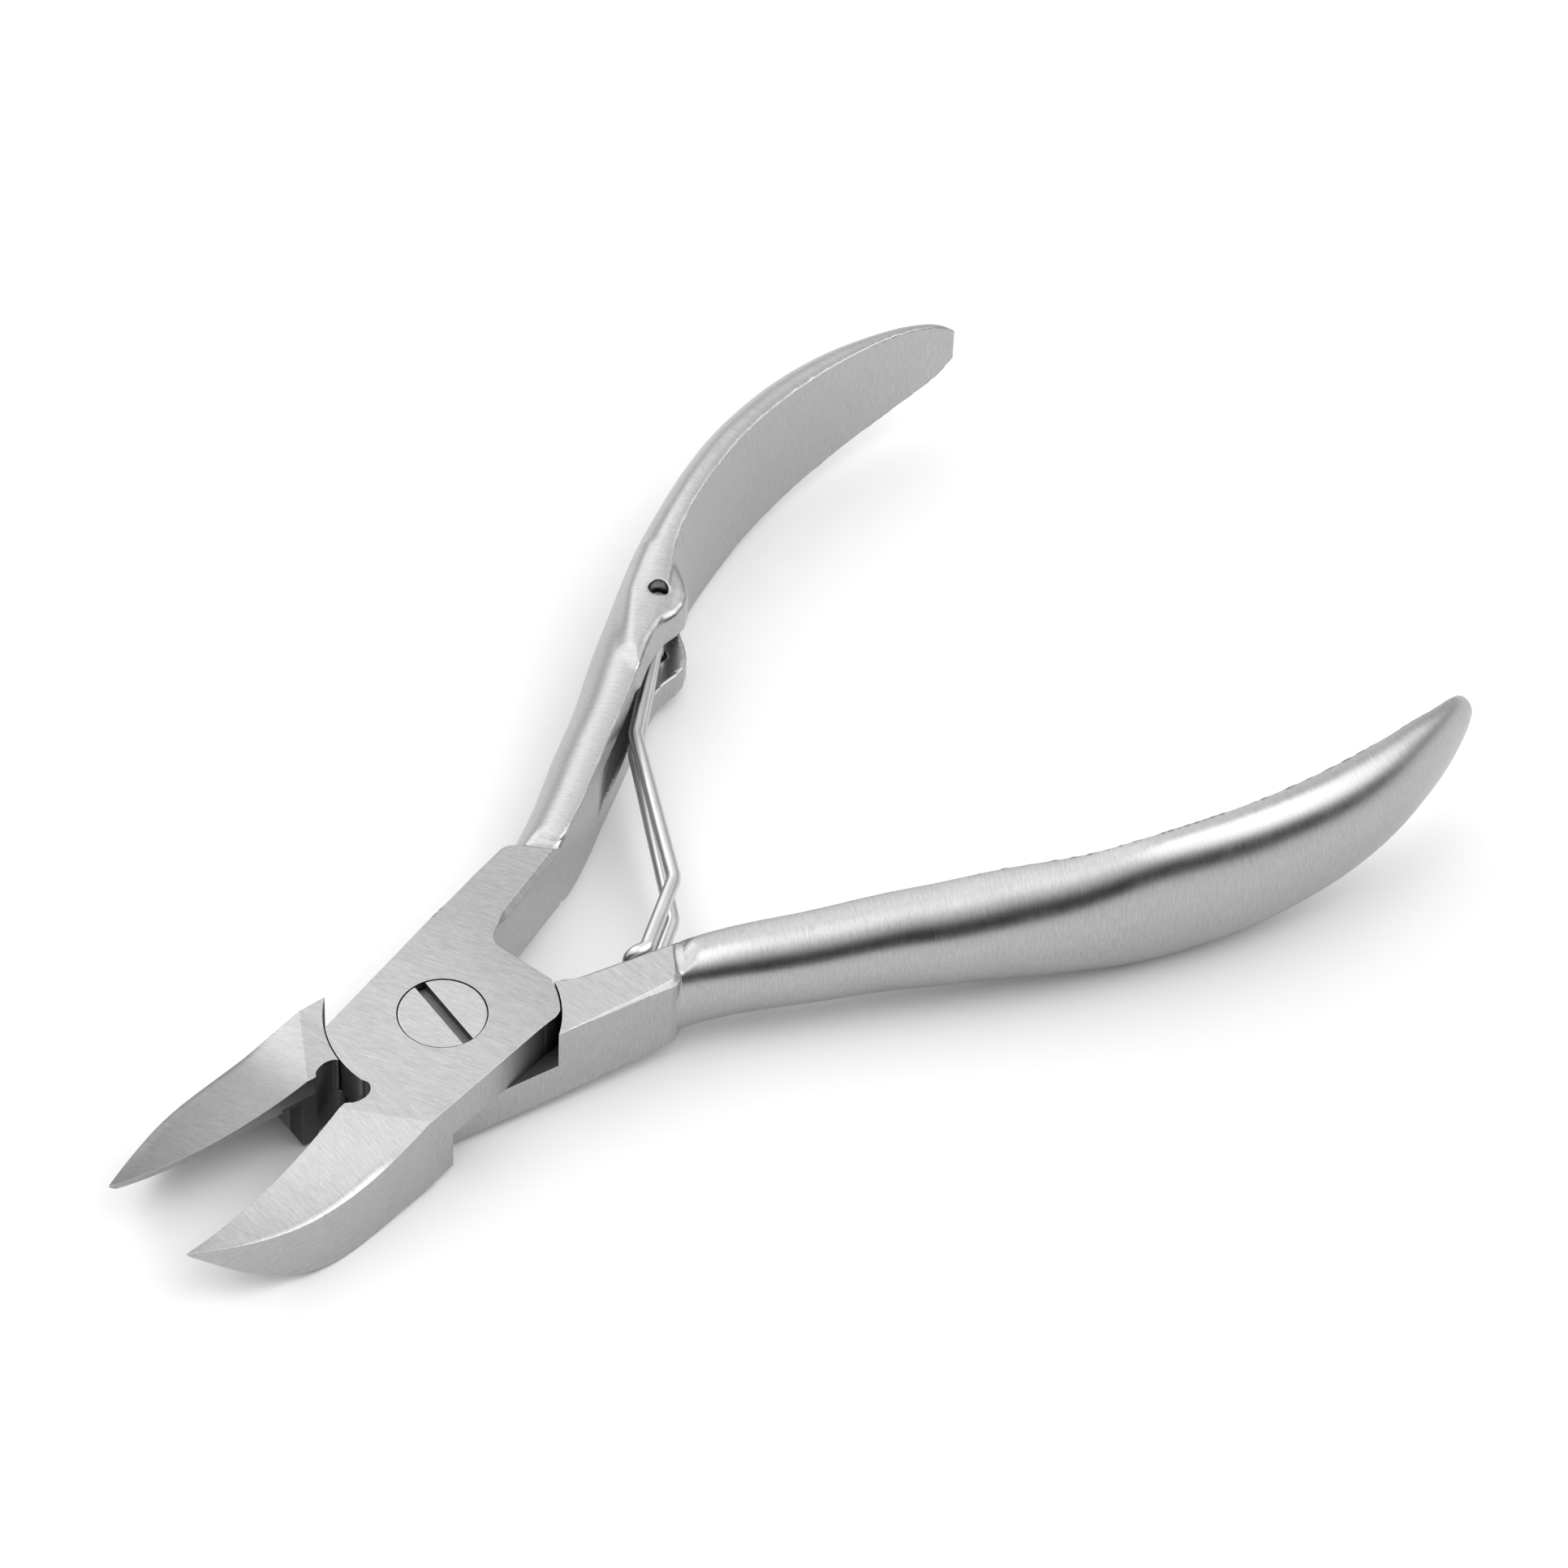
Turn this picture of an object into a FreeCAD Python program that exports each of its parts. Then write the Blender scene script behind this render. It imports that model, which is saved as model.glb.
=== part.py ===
import FreeCAD, Part
import os
from math import sin, cos, tan, acos, atan2, radians, sqrt, pi, hypot

# Nail and cuticle nipper with a half-lap joint, a slotted pivot screw and a
# bent-wire return spring. Millimetres, +Z up.
# Origin: on the pivot axis, at the underside of the joint.
# +Y: from the pivot towards the handles. The jaws point towards -Y.
# upper_half: right-hand jaw, upper lap plate, left-hand handle with spring ears.
# lower_half: left-hand jaw, lower lap plate, right-hand handle.

V = FreeCAD.Vector

# ---------------------------------------------------------------- dimensions
joint_thickness = 6.46        # both lap plates together
lap_gap = 0.04                # running gap between the two lap faces
mid_z = joint_thickness / 2.0

lap_radius = 8.15             # round ends of the lap plates, about the pivot
shoulder_radius = 8.25        # shoulders that the lap plates turn against

half_opening = 8.5            # degrees, each half from closed, as modelled
closed_gap = 0.05             # left between the two cutting edges when shut

screw_head_d = 6.2
screw_head_h = 1.1
screw_head_seat_d = 6.34
screw_slot_w = 0.62
screw_slot_depth = 0.65
screw_slot_angle = -10.6      # degrees from +X
screw_journal_d = 4.00
journal_bore_d = 4.08
screw_thread_d = 3.40
screw_length = 6.43           # head face to tip, the tip flush underneath
screw_top = joint_thickness - 0.03

wire_d = 1.06                 # spring wire
ear_hole_d = 1.50
ear_hole_xy = (-18.8, 38.3)
ear_slot_half = 2.10          # half height of the slot between the ears
ear_half = 4.70               # half height over both ears
leg_half_ear = 0.60           # half distance between the legs in the ears
leg_half_bend1 = 1.05
leg_half_bend2 = 2.25
leg_half_foot = 2.35

jaw_tip = (4.0, -26.66)
edge_root = (1.52, -10.2)     # inner end of the cutting edge
edge_z_tip = 6.0
jaw_hollow_radius = 20.7      # hollow ground across the top of each jaw
jaw_hollow_angle = 36.0       # degrees, its crease against +X
jaw_hollow_at = (4.40, -18.41, 25.68)   # a point on the hollow's axis

# handle stations: inner-face x, y, inner-face half height, greatest half
# height, depth from the inner face to the back of the dome
handle_upper = [
    (4.75, 12.6, 2.7, 3.00, 3.20),
    (6.25, 17.2, 3.05, 3.60, 3.85),
    (8.10, 21.15, 3.10, 3.85, 4.00),
    (9.95, 24.35, 3.20, 4.00, 4.10),
    (11.70, 27.5, 3.35, 4.15, 4.12),
    (13.45, 30.6, 3.55, 4.30, 4.18),
    (15.00, 33.0, 3.80, 4.45, 4.25),
    (17.10, 36.5, 4.35, 4.72, 4.30),
    (19.10, 39.4, 4.80, 5.00, 4.05),
    (21.05, 42.2, 5.25, 5.35, 3.75),
    (22.78, 45.3, 5.85, 5.88, 3.45),
    (23.94, 48.1, 6.00, 6.00, 3.50),
    (24.94, 51.0, 5.98, 5.98, 3.62),
    (25.68, 53.5, 5.90, 5.90, 3.68),
    (26.30, 56.4, 5.73, 5.73, 3.70),
    (26.83, 60.0, 5.43, 5.43, 3.70),
    (27.11, 63.5, 5.08, 5.08, 3.50),
    (27.20, 66.9, 4.64, 4.64, 3.05),
    (27.12, 69.7, 4.20, 4.20, 2.50),
    (26.92, 72.3, 3.65, 3.65, 2.05),
    (26.60, 74.5, 2.95, 2.95, 1.65),
    (26.36, 76.0, 2.15, 2.15, 1.30),
    (26.22, 76.85, 1.20, 1.20, 0.95),
]
handle_lower = [
    (4.75, 12.6, 2.7, 3.05, 3.30),
    (6.25, 17.2, 3.24, 3.66, 3.72),
    (8.10, 21.15, 3.45, 3.68, 3.98),
    (9.95, 24.35, 3.60, 3.80, 4.08),
    (11.70, 27.5, 3.82, 4.00, 4.12),
    (13.45, 30.6, 4.05, 4.20, 4.18),
    (15.00, 33.0, 4.27, 4.39, 4.24),
    (17.10, 36.5, 4.62, 4.73, 4.28),
] + handle_upper[8:19] + [
    (26.92, 72.2, 3.52, 3.52, 2.05),
    (26.60, 74.3, 2.78, 2.78, 1.65),
    (26.36, 75.75, 2.00, 2.00, 1.30),
    (26.22, 76.6, 1.10, 1.10, 0.95),
]


# ------------------------------------------------------------------- helpers
def poly_face(points, z=0.0):
    pts = [V(x, y, z) for x, y in points]
    return Part.Face(Part.makePolygon(pts + [pts[0]]))


def prism(points, z0, z1):
    return poly_face(points, z0).extrude(V(0, 0, z1 - z0))


def disc(r, z0, z1, x=0.0, y=0.0):
    return Part.makeCylinder(r, z1 - z0, V(x, y, z0))


def arc_points(r, a0, a1, n):
    """Points on a circle about the pivot, angles in degrees from +X."""
    return [(r * cos(radians(a0 + (a1 - a0) * i / n)),
             r * sin(radians(a0 + (a1 - a0) * i / n))) for i in range(n + 1)]


def section(station, direction, mz):
    """One D-shaped handle section, for the right-hand side."""
    x, y, hi, hm, depth = station
    k = sqrt(max(0.0, 1.0 - (hi / hm) ** 2))
    a = depth / (1.0 + k)
    n = (cos(direction), -sin(direction))
    t0 = pi - atan2(hi / hm, k) if k > 1e-6 else pi / 2.0
    pts = []
    steps = 18
    for i in range(steps + 1):
        t = -t0 + 2.0 * t0 * i / steps
        d = k * a + a * cos(t)
        z = hm * sin(t)
        # squarer than an ellipse, as a ground forging is
        pts.append(V(x + n[0] * d, y + n[1] * d, mz + z))
    curve = Part.BSplineCurve()
    curve.interpolate(pts)
    dome = curve.toShape()
    flat = Part.LineSegment(pts[-1], pts[0]).toShape()
    return Part.Wire([dome, flat])


def handle(stations, mz):
    wires = []
    for i, s in enumerate(stations):
        a = stations[max(i - 1, 0)]
        b = stations[min(i + 1, len(stations) - 1)]
        direction = atan2(b[0] - a[0], b[1] - a[1])
        wires.append(section(s, direction, mz))
    loft = Part.makeLoft(wires, True, False)
    return loft


def mirror_x(shape):
    return shape.mirror(V(0, 0, 0), V(1, 0, 0))


def flip(shape):
    """Half a turn about the long axis, through the middle of the joint."""
    s = shape.copy()
    s.rotate(V(0, 0, mid_z), V(0, 1, 0), 180)
    return s


def largest(shape):
    solids = sorted(shape.Solids, key=lambda s: -s.Volume)
    return solids[0]


# ------------------------------------------------- jaw, right-hand, full depth
# outer wall, x at the top plane and x at the bottom plane for each y: the
# wall leans outwards going down
wall = [(-7.1, 6.79, 6.90), (-9.0, 6.88, 7.08), (-11.2, 6.92, 7.30),
        (-13.4, 6.92, 7.50), (-15.6, 6.85, 7.62), (-17.6, 6.72, 7.58),
        (-19.3, 6.50, 7.34), (-21.0, 6.06, 6.94), (-22.4, 5.60, 6.50),
        (-23.6, 5.20, 6.08), (-25.1, 4.64, 5.46)]
inner = [(1.0, -7.6), (1.55, -8.05), (1.95, -8.45), (2.10, -9.0),
         (2.02, -9.6), (1.78, -10.05), edge_root]
tip_top = (3.93, -26.66)
tip_bottom = (4.72, -26.66)


def jaw_wire(z, tip, column):
    pts = [V(x, y, z) for x, y in inner] + [V(tip[0], tip[1], z)]
    pts += [V(w[column], w[0], z) for w in wall[::-1]]
    pts += [V(6.3, -2.4, z), V(1.0, -2.4, z)]
    return Part.makePolygon(pts + [pts[0]])


def make_jaw():
    jaw = Part.makeLoft([jaw_wire(0.0, tip_bottom, 2),
                         jaw_wire(joint_thickness, tip_top, 1)], True, True)
    # everything on the other side of the cutting edge's vertical plane goes
    ex, ey = edge_root
    tx, ty = jaw_tip
    jaw = jaw.cut(prism([(ex, ey), (ex + (tx - ex) * 1.1, ey + (ty - ey) * 1.1),
                         (tx - 6, ty - 3), (ex - 6, ey)], -1, 8))
    # hollow ground across the top
    hx, hy, hz = jaw_hollow_at
    ca, sa = cos(radians(jaw_hollow_angle)), sin(radians(jaw_hollow_angle))
    wheel = Part.makeCylinder(jaw_hollow_radius, 40,
                              V(hx - 20 * ca, hy - 20 * sa, hz), V(ca, sa, 0))
    jaw = jaw.cut(wheel)
    # underside sweeps up to the point
    under = [(-15.0, 0.0), (-16.5, 0.15), (-18.6, 0.55), (-20.95, 1.5),
             (-23.4, 3.0), (-25.05, 4.4), (-26.2, 5.45), (-27.2, 6.4)]
    pts = [V(-2, y, z) for y, z in under]
    curve = Part.BSplineCurve()
    curve.interpolate(pts)
    edges = [curve.toShape(),
             Part.LineSegment(pts[-1], V(-2, -27.2, -1)).toShape(),
             Part.LineSegment(V(-2, -27.2, -1), V(-2, -15.0, -1)).toShape(),
             Part.LineSegment(V(-2, -15.0, -1), pts[0]).toShape()]
    keel = Part.Face(Part.Wire(edges)).extrude(V(14, 0, 0))
    jaw = jaw.cut(keel)
    # hollow-ground inside, leaving a narrow land under the cutting edge
    dx, dy = jaw_tip[0] - edge_root[0], jaw_tip[1] - edge_root[1]
    L = hypot(dx, dy)
    ux, uy = dx / L, dy / L
    nx, ny = -uy, ux            # towards the jaw's outer wall
    r = 7.0
    sx = edge_root[0] + nx * -3.21 - ux * -1.2
    sy = edge_root[1] + ny * -3.21 - uy * -1.2
    hollow = Part.makeCylinder(r, L + 6.0, V(sx, sy, -1.75), V(ux, uy, 0))
    jaw = jaw.cut(hollow)
    return jaw


# --------------------------------------------------- upper half, flat regions
def left_x(y):
    return -5.93 - 0.215 * y


def right_x(y):
    return 6.05 - 0.104 * y


inner_line = [(-5.95, 16.75), (-3.60, 9.00), (-3.38, 8.20), (-3.05, 7.60),
              (-2.55, 7.20), (-1.90, 7.05)]
back_edge = [(2.75, 7.62)]
corner = arc_points(lap_radius - 0.03, 70.0, 52.0, 6)
corner2 = [(5.38, 6.00), (5.60, 5.35), (right_x(4.6), 4.6)]
front_arc = arc_points(lap_radius, -84.0, -122.7, 12)
plate_outline = ([(left_x(-6.75), -6.75), (left_x(13.4), 13.4), (-8.72, 14.15),
                  (-8.35, 14.75)] + inner_line + back_edge + corner + corner2
                 + [(right_x(-7.1), -7.1), (1.6, -7.6), (1.0, -8.1)]
                 + front_arc)

block_outline = [(left_x(3.0), 3.0), (left_x(13.4), 13.4), (-8.72, 14.15),
                 (-8.35, 14.75)] + inner_line[:1] + [(-2.2, 4.9), (-2.2, 3.0)]


def make_flats():
    """Lap plate, full-depth block and jaw of the upper half."""
    plate = prism(plate_outline, mid_z + lap_gap / 2, joint_thickness)
    block = prism(block_outline, 0.0, joint_thickness)
    low_clear = disc(shoulder_radius, -1.0, mid_z + lap_gap / 2)
    jaw = make_jaw()
    body = block.fuse([jaw])
    body = body.cut(low_clear)
    high_keep = disc(40, mid_z + lap_gap / 2, 20)
    # above the lap face the block and jaw may not reach past the plate's
    # inner edges, so the shoulder discs only cut below it
    cut_in = prism([(-2.9, 7.0), (-2.2, 7.6), (3.0, 9.5), (3.0, 3.0),
                    (-2.9, 3.0)], -1.0, mid_z + lap_gap / 2)
    body = body.cut(cut_in.common(disc(shoulder_radius + 0.0, -1, mid_z)))
    return plate, body


def make_ears():
    outline = [(-21.6, 43.0), (-21.05, 42.25), (-19.60, 41.25), (-18.1, 40.45),
               (-17.15, 39.75), (-16.55, 38.85), (-16.30, 37.85),
               (-16.28, 36.60), (-16.05, 35.30), (-15.60, 34.00),
               (-14.60, 32.30), (-16.5, 33.0), (-20.6, 37.0), (-23.0, 41.0)]
    return prism(outline, mid_z - ear_half, mid_z + ear_half)


def make_slot():
    outline = [(-6.0, 20.5), (-9.0, 23.0), (-13.4, 28.3), (-17.2, 33.4),
               (-19.3, 36.3), (-20.4, 38.4), (-20.7, 39.8), (-20.3, 40.7),
               (-19.3, 41.0), (-16.0, 41.6), (-12.0, 40.0), (-8.0, 30.0)]
    return prism(outline, mid_z - ear_slot_half, mid_z + ear_slot_half)


# ------------------------------------------------------------------ the parts
def make_upper():
    plate, body = make_flats()
    grip = mirror_x(handle(handle_upper, mid_z))
    # keep the handle off the lap region
    grip = grip.cut(disc(shoulder_radius + 1.0, -20, 20))
    whole = plate.fuse([body, grip, make_ears()])
    whole = whole.cut(make_slot())
    whole = whole.cut(disc(ear_hole_d / 2, -10, 20, *ear_hole_xy))
    whole = whole.cut(disc(journal_bore_d / 2, -10, 20))
    whole = whole.cut(disc(screw_head_seat_d / 2,
                           screw_top - screw_head_h - 0.03, 20))
    return largest(whole.removeSplitter())


def make_lower():
    plate, body = make_flats()
    # the lap plate and the block turn over, the jaw is mirrored, not turned
    block = prism(block_outline, 0.0, joint_thickness)
    block = flip(block).cut(disc(shoulder_radius, mid_z - lap_gap / 2, 30))
    plate = flip(plate)
    jaw = mirror_x(make_jaw()).cut(
        disc(shoulder_radius, mid_z - lap_gap / 2, 30))
    grip = handle(handle_lower, mid_z)
    grip = grip.cut(disc(shoulder_radius + 1.0, -20, 20))
    whole = plate.fuse([block, jaw, grip])
    whole = whole.cut(disc(screw_thread_d / 2, -10, 20))
    return largest(whole.removeSplitter())


def make_screw():
    z_under = screw_top - screw_head_h
    head = disc(screw_head_d / 2, z_under, screw_top)
    slot = Part.makeBox(2 * screw_head_d, screw_slot_w, 5,
                        V(-screw_head_d, -screw_slot_w / 2,
                          screw_top - screw_slot_depth))
    slot.rotate(V(0, 0, 0), V(0, 0, 1), screw_slot_angle)
    journal = disc(screw_journal_d / 2, mid_z - lap_gap / 2 + 0.03, z_under)
    thread = disc(screw_thread_d / 2, screw_top - screw_length,
                  mid_z - lap_gap / 2 + 0.03)
    return head.fuse([journal, thread]).cut(slot).removeSplitter()


def fillet_path(points, radii):
    """Straight runs joined by tangent arcs."""
    edges = []
    prev = points[0]
    for i in range(1, len(points) - 1):
        p, a, b = points[i], points[i - 1], points[i + 1]
        u = V(a.x - p.x, a.y - p.y, a.z - p.z)
        w = V(b.x - p.x, b.y - p.y, b.z - p.z)
        u.normalize()
        w.normalize()
        cosang = max(-1.0, min(1.0, u.dot(w)))
        ang = pi - acos(cosang)
        t = radii[i] * tan(ang / 2.0)
        s = p + u * t
        e = p + w * t
        bis = u + w
        bis.normalize()
        m = p + bis * (radii[i] / cos(ang / 2.0) - radii[i])
        if (s - prev).Length > 1e-6:
            edges.append(Part.LineSegment(prev, s).toShape())
        edges.append(Part.Arc(s, m, e).toShape())
        prev = e
    edges.append(Part.LineSegment(prev, points[-1]).toShape())
    return Part.Wire(edges)


def spring_points():
    hx, hy = ear_hole_xy
    b1 = (-11.85, 29.50)
    b2 = (1.05, 21.05)
    foot = (4.62, 14.95)
    ex, ey = -0.31, -0.951
    end = (foot[0] + 1.25 * ex, foot[1] + 1.25 * ey)

    def leg(s):
        return [V(hx, hy, mid_z + s * (ear_half - 0.7)),
                V(hx, hy, mid_z + s * leg_half_ear),
                V(b1[0], b1[1], mid_z + s * leg_half_bend1),
                V(b2[0], b2[1], mid_z + s * leg_half_bend2),
                V(foot[0], foot[1], mid_z + s * leg_half_foot),
                V(end[0], end[1], mid_z + s * leg_half_foot)]
    return leg(1) + leg(-1)[::-1]


def make_spring():
    pts = spring_points()
    r = [0, 0.85, 1.9, 1.9, 0.9, 0.75, 0.75, 0.9, 1.9, 1.9, 0.85, 0]
    path = fillet_path(pts, r)
    start = pts[0]
    profile = Part.Wire(Part.makeCircle(wire_d / 2, start, V(0, 0, 1)))
    sweep = path.makePipeShell([profile], True, True)
    return Part.Solid(sweep) if sweep.ShapeType != "Solid" else sweep


def main():
    os.makedirs("parts", exist_ok=True)
    made = {
        "upper_half": make_upper(),
        "lower_half": make_lower(),
        "pivot_screw": make_screw(),
        "wire_spring": make_spring(),
    }
    for name, shape in made.items():
        if shape.ShapeType != "Solid" and len(shape.Solids) == 1:
            shape = shape.Solids[0]
        bb = shape.BoundBox
        print(name, shape.ShapeType, "valid", shape.isValid(),
              "solids", len(shape.Solids), "volume %.1f" % shape.Volume,
              "x %.2f..%.2f y %.2f..%.2f z %.2f..%.2f"
              % (bb.XMin, bb.XMax, bb.YMin, bb.YMax, bb.ZMin, bb.ZMax))
        shape.exportStep("parts/%s.step" % name)
    names = list(made)
    for i in range(len(names)):
        for j in range(i + 1, len(names)):
            v = made[names[i]].common(made[names[j]]).Volume
            if v > 1e-4:
                print("overlap", names[i], names[j], "%.4f" % v)


main()
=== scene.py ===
import bpy
import math
import numpy as np
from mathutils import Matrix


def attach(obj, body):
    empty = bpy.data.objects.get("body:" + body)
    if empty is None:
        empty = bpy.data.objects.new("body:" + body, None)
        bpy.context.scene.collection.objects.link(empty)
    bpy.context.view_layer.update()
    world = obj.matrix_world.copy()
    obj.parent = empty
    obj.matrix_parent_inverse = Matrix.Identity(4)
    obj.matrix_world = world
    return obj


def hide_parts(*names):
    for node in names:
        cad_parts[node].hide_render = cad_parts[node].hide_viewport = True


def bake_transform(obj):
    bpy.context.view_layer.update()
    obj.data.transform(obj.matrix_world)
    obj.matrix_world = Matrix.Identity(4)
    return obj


# Looks of the nail and cuticle nipper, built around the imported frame.
# All shape functions below work in millimetres in the row frame; meshes are
# written in metres.

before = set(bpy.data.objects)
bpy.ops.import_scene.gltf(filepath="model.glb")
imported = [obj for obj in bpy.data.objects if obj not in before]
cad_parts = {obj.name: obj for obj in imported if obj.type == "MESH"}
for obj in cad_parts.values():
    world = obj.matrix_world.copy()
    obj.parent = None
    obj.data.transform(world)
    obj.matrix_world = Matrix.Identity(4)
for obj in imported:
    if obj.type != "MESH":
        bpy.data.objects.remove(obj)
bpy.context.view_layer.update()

MM = 0.001
T = 6.46                 # both lap plates together
MID = T / 2.0
GAP = 0.04
R_LAP = 8.15
R_SHOULDER = 8.25


# ------------------------------------------------------------- small helpers
def sstep(a, b, v):
    t = np.clip((v - a) / (b - a), 0.0, 1.0)
    return t * t * (3.0 - 2.0 * t)


def smax(a, b, k):
    h = np.clip(0.5 + 0.5 * (a - b) / k, 0.0, 1.0)
    return b + (a - b) * h + k * h * (1.0 - h)


def smin(a, b, k):
    return -smax(-a, -b, k)


def rmax(a, b, r):
    """Intersection with a round edge of radius r."""
    u = np.maximum(a + r, 0.0)
    v = np.maximum(b + r, 0.0)
    return np.minimum(-r, np.maximum(a, b)) + np.sqrt(u * u + v * v)


def cmax(a, b, c):
    """Intersection with a flat chamfer of size c."""
    return np.maximum(np.maximum(a, b), (a + b + c) * 0.70710678)


def polygon(x, y, pts):
    """Signed distance to a closed polygon, negative inside."""
    d2 = np.full(x.shape, 1e9)
    inside = np.zeros(x.shape, bool)
    n = len(pts)
    for i in range(n):
        ax, ay = pts[i]
        bx, by = pts[(i + 1) % n]
        ex, ey = bx - ax, by - ay
        wx, wy = x - ax, y - ay
        t = np.clip((wx * ex + wy * ey) / (ex * ex + ey * ey), 0.0, 1.0)
        dx, dy = wx - ex * t, wy - ey * t
        np.minimum(d2, dx * dx + dy * dy, out=d2)
        c = ((ay <= y) != (by <= y)) & ((ex * wy - ey * wx > 0) == (by > ay))
        inside ^= c
    return np.where(inside, -1.0, 1.0) * np.sqrt(d2)


def arc_points(r, a0, a1, n):
    return [(r * math.cos(math.radians(a0 + (a1 - a0) * i / n)),
             r * math.sin(math.radians(a0 + (a1 - a0) * i / n)))
            for i in range(n + 1)]


def spline(xs, ys, q):
    """Natural cubic spline through (xs, ys), straight beyond its ends."""
    xs, ys = np.asarray(xs, float), np.asarray(ys, float)
    n = len(xs)
    h = np.diff(xs)
    A = np.zeros((n, n))
    b = np.zeros(n)
    A[0, 0] = A[-1, -1] = 1.0
    for i in range(1, n - 1):
        A[i, i - 1], A[i, i], A[i, i + 1] = h[i - 1], 2 * (h[i - 1] + h[i]), h[i]
        b[i] = 6 * ((ys[i + 1] - ys[i]) / h[i] - (ys[i] - ys[i - 1]) / h[i - 1])
    m = np.linalg.solve(A, b)
    i = np.clip(np.searchsorted(xs, q) - 1, 0, n - 2)
    hh = h[i]
    qc = np.clip(q, xs[0], xs[-1])
    a1 = (xs[i + 1] - qc) / hh
    b1 = (qc - xs[i]) / hh
    v = (a1 * ys[i] + b1 * ys[i + 1]
         + ((a1 ** 3 - a1) * m[i] + (b1 ** 3 - b1) * m[i + 1]) * hh * hh / 6)
    s0 = (ys[1] - ys[0]) / h[0] - h[0] * (2 * m[0] + m[1]) / 6
    s1 = (ys[-1] - ys[-2]) / h[-1] + h[-1] * (2 * m[-1] + m[-2]) / 6
    return v + np.where(q < xs[0], (q - xs[0]) * s0, 0) \
             + np.where(q > xs[-1], (q - xs[-1]) * s1, 0)


# ------------------------------------------------------------------- handles
# inner-face x, y, half height at the inner face, greatest half height, depth
UPPER = [
    (4.75, 12.6, 2.92, 3.00, 3.20), (6.25, 17.2, 3.50, 3.60, 3.85),
    (8.10, 21.15, 3.75, 3.85, 4.00), (9.95, 24.35, 3.90, 4.00, 4.10),
    (11.70, 27.5, 4.05, 4.15, 4.12), (13.45, 30.6, 4.20, 4.30, 4.18),
    (15.00, 33.0, 4.35, 4.45, 4.25), (17.10, 36.5, 4.62, 4.72, 4.30),
    (19.10, 39.4, 4.88, 5.00, 4.05), (21.05, 42.2, 5.18, 5.35, 3.75),
    (22.78, 45.3, 5.55, 5.68, 3.45), (23.94, 48.1, 5.66, 5.80, 3.50),
    (24.94, 51.0, 5.64, 5.79, 3.62), (25.68, 53.5, 5.57, 5.73, 3.68),
    (26.30, 56.4, 5.41, 5.57, 3.70), (26.83, 60.0, 5.13, 5.28, 3.70),
    (27.11, 63.5, 4.84, 4.96, 3.50), (27.20, 66.9, 4.48, 4.57, 3.05),
    (27.12, 69.7, 4.10, 4.16, 2.50), (26.92, 72.3, 3.58, 3.62, 2.05),
    (26.60, 74.5, 2.93, 2.95, 1.65), (26.36, 76.0, 2.14, 2.15, 1.30),
    (26.22, 76.85, 1.30, 1.30, 0.95),
]
LOWER = [
    (4.75, 12.6, 2.95, 3.80, 3.45), (6.25, 17.2, 3.24, 3.66, 3.72),
    (8.10, 21.15, 3.45, 3.68, 3.98), (9.95, 24.35, 3.60, 3.80, 4.08),
    (11.70, 27.5, 3.82, 4.00, 4.12), (13.45, 30.6, 4.05, 4.20, 4.18),
    (15.00, 33.0, 4.27, 4.39, 4.24), (17.10, 36.5, 4.62, 4.73, 4.28),
    (19.10, 39.4, 4.92, 5.02, 4.10), (21.05, 42.2, 5.28, 5.35, 3.75),
    (22.78, 45.3, 5.82, 5.87, 3.45), (23.94, 48.1, 5.95, 5.985, 3.50),
    (24.94, 51.0, 5.93, 5.965, 3.62), (25.68, 53.5, 5.86, 5.89, 3.68),
    (26.30, 56.4, 5.69, 5.72, 3.70), (26.83, 60.0, 5.39, 5.42, 3.70),
    (27.11, 63.5, 5.05, 5.07, 3.50), (27.20, 66.9, 4.61, 4.63, 3.05),
    (27.12, 69.7, 4.17, 4.19, 2.50),
    (26.92, 72.2, 3.45, 3.52, 2.05), (26.60, 74.3, 2.76, 2.78, 1.65),
    (26.36, 75.75, 2.00, 2.00, 1.30), (26.22, 76.6, 1.20, 1.20, 0.95),
]
NOSE_AT = (7.98, 15.12)
NOSE_N = (0.637, 0.771)


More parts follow.
